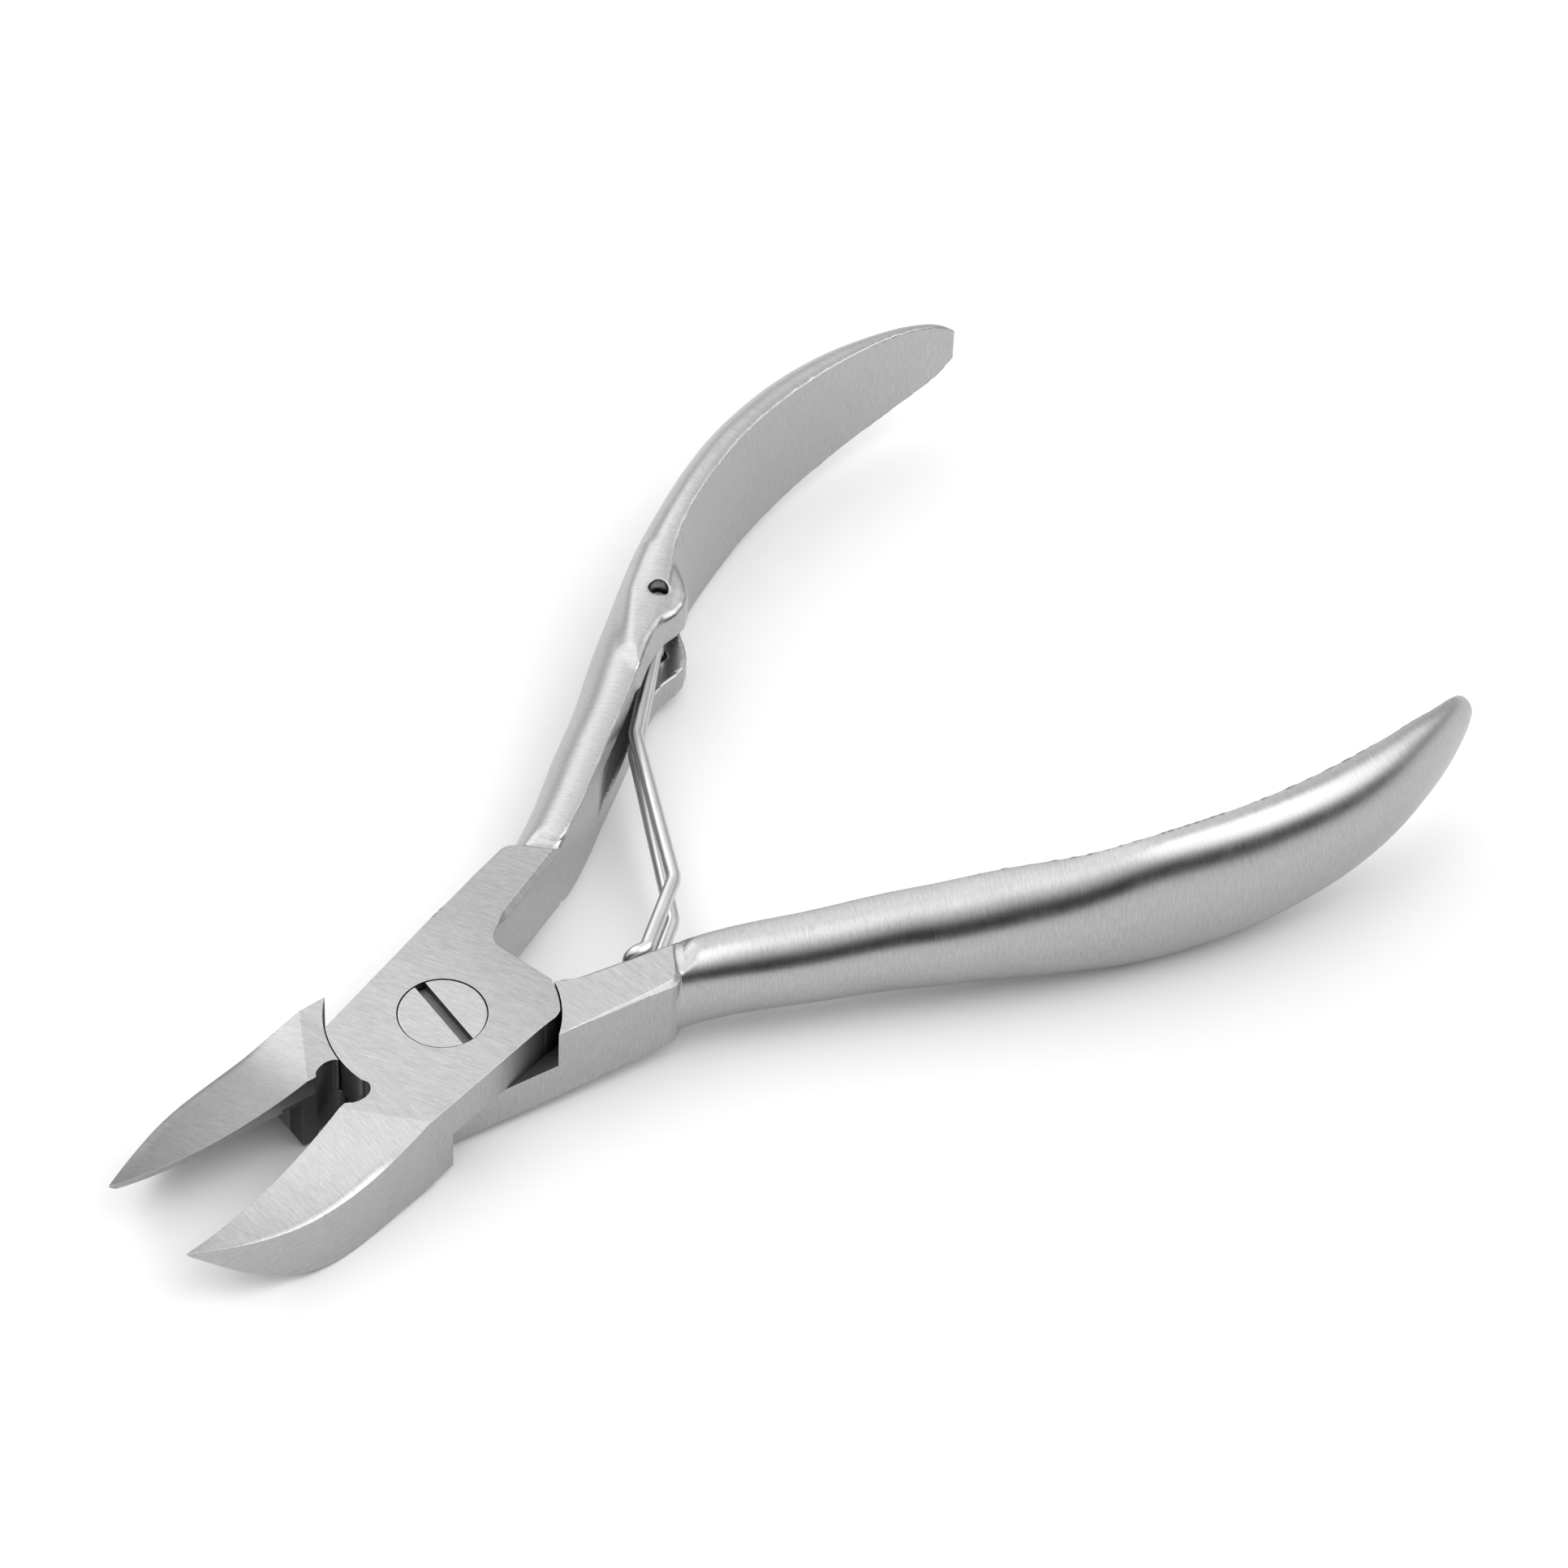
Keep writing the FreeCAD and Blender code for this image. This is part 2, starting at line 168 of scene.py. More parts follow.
class Handle:
    def __init__(self, stations, end, chamfer):
        s = np.array(stations)
        self.y = np.arange(4.0, 84.0, 0.04)
        raw = [spline(s[:, 1], s[:, k], self.y) for k in (0, 2, 3, 4)]
        # a light smoothing takes out the ripple between stations
        g = np.exp(-0.5 * (np.arange(-60, 61) * 0.04 / 0.75) ** 2)
        g /= g.sum()
        out = []
        for r in raw:
            p = np.concatenate([2 * r[0] - r[60:0:-1], r, 2 * r[-1] - r[-2:-62:-1]])
            out.append(np.convolve(p, g, "valid"))
        self.gx, self.hi, self.hm, self.dp = out
        self.hm = np.maximum(self.hm, 0.3)
        self.hi = np.clip(self.hi, 0.25, self.hm)
        self.dp = np.maximum(self.dp, 0.4)
        self.g1 = np.gradient(self.gx, self.y)
        self.g2 = np.gradient(self.g1, self.y)
        self.s = np.concatenate([[0], np.cumsum(np.sqrt(1 + self.g1[1:] ** 2)) * 0.04])
        self.ch = np.interp(self.y, [12, 18, 25, 30, 40, 60, 70, 77], chamfer)
        self.end = end

    def foot(self, x, y):
        """y of the nearest point on the inner-face line, and distance out."""
        yc = y.copy()
        for _ in range(4):
            g = np.interp(yc, self.y, self.gx)
            g1 = np.interp(yc, self.y, self.g1)
            g2 = np.interp(yc, self.y, self.g2)
            e = (g - x) * g1 + (yc - y)
            de = g1 * g1 + (g - x) * g2 + 1.0
            yc = yc - e / np.maximum(de, 0.3)
        g = np.interp(yc, self.y, self.gx)
        g1 = np.interp(yc, self.y, self.g1)
        c = 1.0 / np.sqrt(1 + g1 * g1)
        return yc, (x - g) * c - (y - yc) * g1 * c

    def section(self, yc):
        return (np.interp(yc, self.y, self.hi), np.interp(yc, self.y, self.hm),
                np.interp(yc, self.y, self.dp), np.interp(yc, self.y, self.ch))

    def field(self, x, y, z):
        yc, d = self.foot(x, y)
        hi, hm, dp, ch = self.section(yc)
        k = np.sqrt(np.maximum(0.0, 1.0 - (hi / hm) ** 2))
        a = dp / (1.0 + k)
        zr = np.abs(z - MID)
        u = (d - k * a) / a
        w = zr / hm
        q = np.sqrt(u * u + w * w) + 1e-9
        gr = np.sqrt((u / a) ** 2 + (w / hm) ** 2) + 1e-9
        f = (q - 1.0) * q / gr
        f = np.clip(f, -3.0, 60.0)
        face = -d
        f = np.maximum(f, face)
        # narrow flat along both inner edges
        f = np.maximum(f, (zr - hi + ch * 0.55 - d) * 0.7071)
        # tip cut square with a small round edge
        f = rmax(f, yc - self.end, 0.22)
        # nose where the dome rises out of the flat of the block
        pn = -((x - NOSE_AT[0]) * NOSE_N[0] + (y - NOSE_AT[1]) * NOSE_N[1])
        up = zr - MID
        pn = pn + np.where(up > 0, 0.55 * up, 2.6 * up)
        near = y < 24
        if near.any():
            fn = smax(f, pn * 0.85, 1.15)
            f = np.where(near, fn, f)
        return f


H_UP = Handle(UPPER, 76.87, [0.36, 0.20, 0.14, 0.12, 0.10, 0.10, 0.10, 0.08])
H_LO = Handle(LOWER, 76.62, [0.42, 0.42, 0.42, 0.30, 0.13, 0.11, 0.10, 0.08])


# ---------------------------------------------------------------- flat parts
def left_x(y):
    return -5.93 - 0.215 * y


def right_x(y):
    return 6.05 - 0.104 * y


EDGE_ROOT = (1.52, -10.2)
JAW_TIP = (4.0, -26.66)
_L = math.hypot(JAW_TIP[0] - EDGE_ROOT[0], JAW_TIP[1] - EDGE_ROOT[1])
EU = ((JAW_TIP[0] - EDGE_ROOT[0]) / _L, (JAW_TIP[1] - EDGE_ROOT[1]) / _L)
EN = (-EU[1], EU[0])
BEYOND = (JAW_TIP[0] + EU[0] * 4, JAW_TIP[1] + EU[1] * 4)

OUTLINE = ([(left_x(-6.75), -6.75), (left_x(12.6), 12.6), (-8.78, 13.2),
            (-8.86, 13.55), (-8.84, 13.95), (-8.70, 14.32), (-8.45, 14.62),
            (-8.34, 14.74), (-5.95, 16.70), (-3.60, 9.00), (-3.40, 8.22),
            (-3.22, 7.80), (-2.95, 7.45), (-2.60, 7.20), (-2.25, 7.08),
            (-1.90, 7.05), (2.75, 7.62)]
           + arc_points(R_LAP - 0.03, 70.0, 52.0, 8)
           + [(5.30, 6.15), (5.47, 5.80), (5.56, 5.40), (right_x(4.6), 4.6),
              (14.0, 4.6), (14.0, -34.0), (BEYOND[0], -34.0), BEYOND,
              EDGE_ROOT, (1.70, -10.12), (1.86, -9.95), (1.98, -9.70),
              (2.07, -9.35), (2.10, -9.0), (2.06, -8.70), (1.95, -8.42),
              (1.78, -8.20), (1.55, -8.03), (1.28, -7.93), (1.0, -8.0)]
           + arc_points(R_LAP, -84.0, -122.7, 24))

WALL = np.array([
    (-7.1, 6.79, 6.90), (-9.0, 6.88, 7.08), (-11.2, 6.92, 7.30),
    (-13.4, 6.92, 7.50), (-15.6, 6.85, 7.62), (-17.6, 6.70, 7.56),
    (-19.3, 6.45, 7.32), (-21.0, 6.04, 6.92), (-22.4, 5.60, 6.48),
    (-23.6, 5.17, 6.04), (-25.1, 4.58, 5.40), (-26.66, 3.93, 4.72)])[::-1]
_wy = np.arange(-36.0, 24.0, 0.05)
_wt = spline(WALL[:, 0], WALL[:, 1], _wy)
_wb = spline(WALL[:, 0], WALL[:, 2], _wy)
_wt = np.where(_wy > -7.1, right_x(_wy), _wt)
_wb = np.where(_wy > -7.1, right_x(_wy) + 0.11 * np.exp(-np.abs(_wy + 7.1) * 3.0), _wb)
_wt = np.where(_wy > 4.6, 5.72, _wt)
_wb = np.where(_wy > 4.6, 5.72, _wb)
_k = np.ones(9) / 9.0
_wt = np.convolve(np.pad(_wt, 4, "edge"), _k, "valid")
_wb = np.convolve(np.pad(_wb, 4, "edge"), _k, "valid")
_wc = 1.0 / np.sqrt(1 + np.gradient(_wt, _wy) ** 2)

HOLLOW_R = 20.7
HOLLOW_AT = (4.40, -18.41, 25.68)
HCA, HSA = math.cos(math.radians(36.0)), math.sin(math.radians(36.0))

KEEL_Y = np.array([-29.0, -27.2, -26.2, -25.05, -23.4, -20.95, -18.6, -16.5, -15.0])
KEEL_Z = np.array([8.3, 6.4, 5.45, 4.4, 3.0, 1.5, 0.55, 0.15, 0.0])
_ky = np.arange(-36.0, 24.0, 0.05)
_kz = np.where(_ky > -15.0, -0.0, spline(KEEL_Y, KEEL_Z, _ky))
_kc = 1.0 / np.sqrt(1 + np.gradient(_kz, _ky) ** 2)


def far_box(x, y, z, lo, hi):
    dx = np.maximum(np.maximum(lo[0] - x, x - hi[0]), 0)
    dy = np.maximum(np.maximum(lo[1] - y, y - hi[1]), 0)
    dz = np.maximum(np.maximum(lo[2] - z, z - hi[2]), 0)
    return np.sqrt(dx * dx + dy * dy + dz * dz)


def outline_field(x, y, z):
    """Plan outline of plate, block and jaw; the jaw wall leans outwards."""
    p = polygon(x, y, OUTLINE)
    t = np.interp(y, _wy, _wt)
    b = np.interp(y, _wy, _wb)
    w = (x - (t + (b - t) * (1.0 - z / T))) * np.interp(y, _wy, _wc)
    return p, w


def jaw_cuts(x, y, z):
    """Hollow across the top, sweep underneath, hollow behind the edge."""
    w = -HSA * (x - HOLLOW_AT[0]) + HCA * (y - HOLLOW_AT[1])
    wheel = np.sqrt(w * w + (z - HOLLOW_AT[2]) ** 2) - HOLLOW_R
    keel = (np.interp(y, _ky, _kz) - z) * np.interp(y, _ky, _kc)
    sx = EDGE_ROOT[0] - 3.21 * EN[0] + 1.2 * EU[0]
    sy = EDGE_ROOT[1] - 3.21 * EN[1] + 1.2 * EU[1]
    along = (x - sx) * EU[0] + (y - sy) * EU[1]
    off = (x - sx) * EN[0] + (y - sy) * EN[1]
    rise = HOLLOW_AT[2] - np.sqrt(np.maximum(HOLLOW_R ** 2 - w * w, 1.0)) - 4.98
    rise = np.where(w < 0, np.clip(rise, 0.0, 1.1), 0.0) * (1.0 - sstep(3.36, 4.1, off))
    hol = np.sqrt(off * off + (z + 1.75 - rise) ** 2) - 7.0
    hol = np.maximum(hol, -along)
    return wheel, keel, hol


def lap_body(x, y, z, jaw_flip):
    """Plate, block and jaw with the flats in the upper half's orientation.
    jaw_flip: 0 the jaw follows, 1 the jaw is upside down against the flats."""
    p, w = outline_field(x, y, T - z if jaw_flip else z)
    zj = T - z if jaw_flip else z
    wheel, keel, hol = jaw_cuts(x, y, zj)
    # chamfer sizes around the top and bottom outline
    mid_x = -5.93 - 0.215 * y + 2.0
    inner = x > mid_x
    c = np.where(inner, 0.42 * sstep(7.9, 9.6, y),
                 0.17 * sstep(4.0, 9.5, y) + 0.22 * sstep(10.0, 14.4, y))
    c = np.where(y < 3.0, 0.0, c)
    top = z - T
    bot = -z
    side = np.maximum(p, w)
    f = cmax(cmax(side, top, c), bot, c)
    jaw = y < -6.0
    if jaw.any():
        topj, botj = (zj - T), -zj
        fade = sstep(8.6, 13.0, -y) * sstep(-26.4, -22.0, y)
        g = np.maximum(topj, -wheel) + 0.19 * fade * np.clip(1.0 + w / 0.70, 0.0, 1.6) ** 2
        g = np.maximum(w, g)
        g = np.maximum(g, p)
        g = np.maximum(g, np.maximum(botj, keel))
        g = np.maximum(g, -hol)
        f = np.where(jaw, g, f)
    r = np.sqrt(x * x + y * y)
    cut = np.maximum(r - R_SHOULDER, z - (MID + GAP / 2))
    f = np.maximum(f, -cut)
    return f


EAR = [(-21.6, 43.0), (-21.05, 42.25), (-19.60, 41.25), (-18.1, 40.45),
       (-17.15, 39.75), (-16.55, 38.85), (-16.30, 37.85), (-16.28, 36.60),
       (-16.05, 35.30), (-15.60, 34.00), (-14.60, 32.30), (-16.5, 33.0),
       (-20.6, 37.0), (-23.0, 41.0)]
SLOT = [(-6.0, 20.5), (-9.0, 23.0), (-13.4, 28.3), (-17.2, 33.4),
        (-19.3, 36.3), (-20.4, 38.4), (-20.7, 39.8), (-20.3, 40.7),
        (-19.3, 41.0), (-16.0, 41.6), (-12.0, 40.0), (-8.0, 30.0)]


def masked(fn, mask, x, y, z, fill):
    out = fill.copy()
    if mask.any():
        out[mask] = fn(x[mask], y[mask], z[mask])
    return out


def field_upper(x, y, z):
    big = far_box(x, y, z, (-9.5, -27.5, -0.1), (8.2, 17.2, T + 0.1)) + 0.6
    m = (y < 18.4) & (np.abs(x) < 10.5)
    f = masked(lambda a, b, c: lap_body(a, b, c, 0), m, x, y, z, big)
    hbig = far_box(x, y, z, (-31.0, 9.0, -3.0), (-4.0, 77.2, 9.4)) + 0.6
    m = (y > 8.0) & (x < -0.5)
    h = masked(lambda a, b, c: H_UP.field(-a, b, c), m, x, y, z, hbig)
    h = np.maximum(h, R_SHOULDER + 1.0 - np.sqrt(x * x + y * y))
    m = (y > 30.5) & (y < 45) & (x < -11) & (x > -25)
    if m.any():
        xx, yy, zz = x[m], y[m], z[m]
        zr = np.abs(zz - MID)
        e = rmax(polygon(xx, yy, EAR), zr - 4.60, 0.60)
        h[m] = smin(h[m], e, 1.0)
    m = (y > 18) & (y < 44) & (x < -3) & (x > -24)
    if m.any():
        xx, yy, zz = x[m], y[m], z[m]
        s = np.maximum(polygon(xx, yy, SLOT), np.abs(zz - MID) - 2.10)
        v = smax(h[m], -s, 0.12)
        hole = np.sqrt((xx + 18.8) ** 2 + (yy - 38.3) ** 2) - 0.75
        h[m] = smax(v, -hole, 0.10)
    f = smin(f, h, 0.10)
    r = np.sqrt(x * x + y * y)
    f = np.maximum(f, 2.04 - r)
    f = np.maximum(f, -np.maximum(r - 3.17, 5.30 - z))
    return f


def field_lower(x, y, z):
    big = far_box(x, y, z, (-8.2, -27.5, -0.1), (9.5, 17.2, T + 0.1)) + 0.6
    m = (y < 18.4) & (np.abs(x) < 10.5)
    f = masked(lambda a, b, c: lap_body(-a, b, T - c, 1), m, x, y, z, big)
    hbig = far_box(x, y, z, (4.0, 9.0, -3.0), (31.0, 77.2, 9.4)) + 0.6
    m = (y > 8.0) & (x > 0.5)
    h = masked(H_LO.field, m, x, y, z, hbig)
    h = np.maximum(h, R_SHOULDER + 1.0 - np.sqrt(x * x + y * y))
    f = smin(f, h, 0.10)
    f = np.maximum(f, 1.70 - np.sqrt(x * x + y * y))
    return f


SCREW_TOP = T - 0.03
SLOT_A = math.radians(-9.6)


def field_screw(x, y, z):
    r = np.sqrt(x * x + y * y)
    under = SCREW_TOP - 1.1
    head = cmax(r - 3.10, z - SCREW_TOP, 0.04)
    head = np.maximum(head, under - z)
    jn = np.maximum(r - 2.0, np.maximum(z - under - 0.3, (MID + 0.01) - z))
    th = cmax(r - 1.70, -z, 0.12)
    th = np.maximum(th, z - MID - 0.05)
    f = np.minimum(np.minimum(head, jn), th)
    v = -math.sin(SLOT_A) * (x - 0.05) + math.cos(SLOT_A) * (y - 0.10)
    slot = np.maximum(np.abs(v) - 0.42, (SCREW_TOP - 0.65) - z)
    return np.maximum(f, -slot)


# ------------------------------------------------------------ surface mesher
def gradient(f, p, e=0.003):
    """Four-point gradient, unit length."""
    k = np.array([[1, -1, -1], [-1, -1, 1], [-1, 1, -1], [1, 1, 1]], float)
    g = np.zeros_like(p)
    for d in k:
        v = f(p[:, 0] + e * d[0], p[:, 1] + e * d[1], p[:, 2] + e * d[2])
        g += v[:, None] * d[None]
    n = np.linalg.norm(g, axis=1)
    return g / np.maximum(n, 1e-12)[:, None]


def contour(f, xs, ys, zs, reach=1.5):
    """Dual contouring on a rectilinear grid. Vertices sit on the creases."""
    nx, ny, nz = len(xs), len(ys), len(zs)
    F = np.full((nx, ny, nz), np.nan)
    B = 5
    # coarse pass: which blocks of cells can hold surface
    bx, by, bz = [np.arange(0, n - 1, B) for n in (nx, ny, nz)]

    def mids(a, b0):
        b1 = np.minimum(b0 + B, len(a) - 1)
        return 0.5 * (a[b0] + a[b1]), 0.5 * (a[b1] - a[b0])
    cx, hx = mids(xs, bx)
    cy, hy = mids(ys, by)
    cz, hz = mids(zs, bz)
    gx, gy, gz = np.meshgrid(cx, cy, cz, indexing="ij")
    rad = np.sqrt(hx[:, None, None] ** 2 + hy[None, :, None] ** 2 + hz[None, None, :] ** 2)
    v = f(gx.ravel(), gy.ravel(), gz.ravel()).reshape(gx.shape)
    keep = np.abs(v) < rad * reach + 0.15
    mask = np.zeros((nx, ny, nz), bool)
    for i, j, k in np.argwhere(keep):
        mask[bx[i]:bx[i] + B + 1, by[j]:by[j] + B + 1, bz[k]:bz[k] + B + 1] = True
    idx = np.flatnonzero(mask)
    ii, jj, kk = np.unravel_index(idx, mask.shape)
    flat = F.ravel()
    for a in range(0, len(idx), 400000):
        s = slice(a, a + 400000)
        flat[idx[s]] = f(xs[ii[s]], ys[jj[s]], zs[kk[s]])
    F = flat.reshape(F.shape)
    F[F == 0.0] = 1e-9
    cells, normals, points, owners = [], [], [], []
    edges = []
    for axis in range(3):
        sl0 = [slice(None)] * 3
        sl1 = [slice(None)] * 3
        sl0[axis] = slice(0, -1)
        sl1[axis] = slice(1, None)
        a, b = F[tuple(sl0)], F[tuple(sl1)]
        with np.errstate(invalid="ignore"):
            hit = (a * b) < 0
        e = np.argwhere(hit)
        fa = a[hit]
        fb = b[hit]
        p0 = np.stack([xs[e[:, 0]], ys[e[:, 1]], zs[e[:, 2]]], 1)
        p1 = p0.copy()
        arr = (xs, ys, zs)[axis]
        p1[:, axis] = arr[e[:, axis] + 1]
        t0, t1 = np.zeros(len(e)), np.ones(len(e))
        f0, f1 = fa.copy(), fb.copy()
        for it in range(4):
            t = t0 - f0 * (t1 - t0) / (f1 - f0)
            t = np.clip(t, t0 + 0.02 * (t1 - t0), t1 - 0.02 * (t1 - t0))
            p = p0 + (p1 - p0) * t[:, None]
            ft = f(p[:, 0], p[:, 1], p[:, 2])
            same = np.sign(ft) == np.sign(f0)
            t0 = np.where(same, t, t0)
            f0 = np.where(same, ft, f0 * np.where(it, 0.5, 1.0))
            t1 = np.where(same, t1, t)
            f1 = np.where(same, f1 * np.where(it, 0.5, 1.0), ft)
        t = np.clip(t0 - f0 * (t1 - t0) / (f1 - f0), t0, t1)
        p = p0 + (p1 - p0) * t[:, None]
        edges.append((e, fa < 0, p))
    allp = np.concatenate([e[2] for e in edges])
    alln = gradient(f, allp)
    off = 0
    quads = []
    for axis in range(3):
        e, inside, p = edges[axis]
        n = alln[off:off + len(e)]
        off += len(e)
        u, w = [(1, 2), (2, 0), (0, 1)][axis]
        four = []
        for du, dw in ((-1, -1), (0, -1), (0, 0), (-1, 0)):
            c = e.copy()
            c[:, u] += du
            c[:, w] += dw
            ok = (c >= 0).all(1) & (c[:, 0] < nx - 1) & (c[:, 1] < ny - 1) & (c[:, 2] < nz - 1)
            lin = np.where(ok, (c[:, 0] * ny + c[:, 1]) * nz + c[:, 2], -1)
            four.append(lin)
            cells.append(lin)
            normals.append(n)
            points.append(p)
        q = np.stack(four, 1)
        q = np.where(inside[:, None], q, q[:, ::-1])
        quads.append(q[(q >= 0).all(1)])
    lin = np.concatenate(cells)
    nn = np.concatenate(normals)
    pp = np.concatenate(points)
    good = lin >= 0
    lin, nn, pp = lin[good], nn[good], pp[good]
    uniq, inv = np.unique(lin, return_inverse=True)
    N = len(uniq)
    cnt = np.bincount(inv, minlength=N).astype(float)
    mass = np.stack([np.bincount(inv, pp[:, k], N) for k in range(3)], 1) / cnt[:, None]
    mean_n = np.stack([np.bincount(inv, nn[:, k], N) for k in range(3)], 1) / cnt[:, None]
    d = np.einsum("ij,ij->i", nn, pp - mass[inv])
    A = np.zeros((N, 3, 3))
    for i in range(3):
        for j in range(i, 3):
            A[:, i, j] = A[:, j, i] = np.bincount(inv, nn[:, i] * nn[:, j], N)
    b = np.stack([np.bincount(inv, nn[:, k] * d, N) for k in range(3)], 1)
    lam = 0.012 * cnt
    A[:, 0, 0] += lam
    A[:, 1, 1] += lam
    A[:, 2, 2] += lam
    dx = np.linalg.solve(A, b[:, :, None])[:, :, 0]
    ci = uniq // (ny * nz)
    cj = (uniq // nz) % ny
    ck = uniq % nz
    lo = np.stack([xs[ci], ys[cj], zs[ck]], 1)
    hi = np.stack([xs[ci + 1], ys[cj + 1], zs[ck + 1]], 1)
    m = (hi - lo) * 0.30
    v = np.clip(mass + dx, lo - m, hi + m)
    quads = np.concatenate(quads)
    quads = np.searchsorted(uniq, quads)
    crease = np.linalg.norm(mean_n, axis=1) < 0.992
    return v, quads, crease


def corner_normals(f, v, quads, crease):
    """Exact normals: one per vertex, one per corner at the creases."""
    vn = gradient(f, v)
    cn = vn[quads]
    sel = crease[quads]
    cen = v[quads].mean(1)
    qi, ki = np.nonzero(sel)
    p = v[quads[qi, ki]]
    p = p + (cen[qi] - p) * 0.22
    g = gradient(f, p)
    # keep to the side the quad is on
    d1 = v[quads[:, 2]] - v[quads[:, 0]]
    d2 = v[quads[:, 3]] - v[quads[:, 1]]
    fn = np.cross(d1, d2)
    fn /= np.maximum(np.linalg.norm(fn, axis=1), 1e-12)[:, None]
    dot = np.einsum("ij,ij->i", g, fn[qi])
    g = np.where((dot > 0.35)[:, None], g, fn[qi])
    cn[qi, ki] = g
    dot = np.einsum("ijk,ik->ij", cn, fn)
    bad = dot < 0.2
    cn[bad] = np.repeat(fn[:, None], 4, 1)[bad]
    return cn, fn


def steps(parts):
    """Grid lines from (start, stop, pitch) runs."""
    out = []
    for a, b, h in parts:
        n = max(1, int(round((b - a) / h)))
        out.append(np.linspace(a, b, n + 1)[:-1])
    out.append([parts[-1][1]])
    return np.concatenate(out)


def make_mesh(name, v, quads, cn, grain=None, brush=None, shade=None):
    me = bpy.data.meshes.new(name)
    nq = len(quads)
    me.vertices.add(len(v))
    me.vertices.foreach_set("co", (v * MM).astype(np.float32).ravel())
    me.loops.add(nq * 4)
    me.loops.foreach_set("vertex_index", quads.astype(np.int32).ravel())
    me.polygons.add(nq)
    me.polygons.foreach_set("loop_start", np.arange(0, nq * 4, 4, dtype=np.int32))
    me.update(calc_edges=True)
    me.polygons.foreach_set("use_smooth", np.ones(nq, bool))
    for nm, arr in (("grain", grain), ("brush", brush)):
        if arr is not None:
            at = me.attributes.new(nm, "FLOAT_VECTOR", "CORNER")
            at.data.foreach_set("vector", arr.reshape(-1).astype(np.float32))
    if shade is not None:
        at = me.attributes.new("shade", "FLOAT", "CORNER")
        at.data.foreach_set("value", shade.reshape(-1).astype(np.float32))
    if cn is not None:
        me.normals_split_custom_set(cn.reshape(-1, 3).astype(np.float32))
    ob = bpy.data.objects.new(name, me)
    bpy.context.scene.collection.objects.link(ob)
    return ob


# --------------------------------------------------- brushing and painted shade, for each corner
def brush_and_shade(p, n, handle, sign, jaw_angle, flat_angle, block_angle):
    """Grain coordinates (along, across, slice) in mm, the brushing direction
    and a shade: painted shade where shade falls in recesses, joints and gaps,
    and a jaw B top darker towards its tip. p, n: (M, 3)."""
    M = len(p)
    x, y, z = p.T
    grain = np.zeros((M, 3))
    brush = np.zeros((M, 3))
    shade = np.ones(M)
    hs = sign            # +1 handle on +x, -1 handle on -x
    # ---- handle
    xm = x * hs
    yc, d = handle.foot(xm, y)
    g1 = np.interp(yc, handle.y, handle.g1)
    c = 1.0 / np.sqrt(1 + g1 * g1)
    axis = np.stack([g1 * c * hs, c, np.zeros(M)], 1)
    t = np.cross(n, axis)
    tn = np.linalg.norm(t, axis=1)
    t = t / np.maximum(tn, 1e-6)[:, None]
    s = np.interp(yc, handle.y, handle.s)
    hi, hm, dp, ch = handle.section(yc)
    ang = np.arctan2((z - MID) / hm, (d - 0.3 * dp) / dp)
    face = (d < 0.02) | (np.abs(d) < 0.05)
    ug = np.where(face, z, ang * 4.2)
    on_handle = ((((xm - NOSE_AT[0]) * NOSE_N[0] + (y - NOSE_AT[1]) * NOSE_N[1]) > 0.0)
                 & (xm > 3.0))
    # ---- flats, walls, jaws
    jaw = y < -7.0
    ca, sa = np.cos(flat_angle), np.sin(flat_angle)
    aa = np.where(jaw, jaw_angle, flat_angle + (block_angle - flat_angle) * sstep(5.0, 9.0, y))
    du = np.stack([np.cos(aa), np.sin(aa), np.zeros(M)], 1)
    dv = np.stack([-np.sin(aa), np.cos(aa), np.zeros(M)], 1)
    # on the hollow the brush follows the surface
    bt = du - n * np.einsum("ij,ij->i", du, n)[:, None]
    bt /= np.maximum(np.linalg.norm(bt, axis=1), 1e-6)[:, None]
    flat = np.abs(n[:, 2]) > 0.55
    grain[:, 0] = np.einsum("ij,ij->i", du, p)
    grain[:, 1] = np.einsum("ij,ij->i", dv, p)
    grain[:, 2] = np.where(jaw, 11.0, 3.0) + z * 0.7
    brush[:] = bt
    # walls
    hor = np.stack([-n[:, 1], n[:, 0], np.zeros(M)], 1)
    hl = np.linalg.norm(hor, axis=1)
    hor = hor / np.maximum(hl, 1e-6)[:, None]
    wall = ~flat
    if wall.any():
        upv = np.cross(n, hor)
        upv /= np.maximum(np.linalg.norm(upv, axis=1), 1e-6)[:, None]
        run = y + 0.35 * np.abs(x)
        block = wall & ~jaw
        grain[block] = np.stack([z[block], run[block], 23.0 + 0 * z[block]], 1)
        brush[block] = upv[block]
        jw = wall & jaw
        grain[jw] = np.stack([run[jw] + 0.8 * z[jw], z[jw] - 0.25 * run[jw], 31.0 + 0 * z[jw]], 1)
        b2 = hor + 0.25 * upv
        b2 /= np.linalg.norm(b2, axis=1)[:, None]
        brush[jw] = b2[jw]
    hsel = on_handle
    grain[hsel] = np.stack([ug[hsel], s[hsel], 41.0 + np.where(face, 7.0, 0.0)[hsel]], 1)
    brush[hsel] = t[hsel]
    # ---- painted shade where shade falls: the lap shoulders, notch and bores
    r = np.sqrt(x * x + y * y)
    side = np.abs(n[:, 2]) < 0.6
    # painted shade along the wall of the lap shoulder
    shade = np.where(side & (r < 8.6) & (np.abs(x) < 9) & (y < 9.0)
                     & (np.abs(r - R_SHOULDER) < 0.06)
                     & (np.abs(n[:, 0] * x + n[:, 1] * y) > 0.9 * r), 0.16, shade)
    # painted shade on the walls of the screw bore
    shade = np.where((r < 3.4) & side, 0.30, shade)
    xj = x * -hs
    # painted shade in the notch at the jaw root
    notch = side & (y < -7.2) & (y > -10.35) & (xj > 0.8) & (xj < 2.6)
    shade = np.where(notch, 0.34, shade)
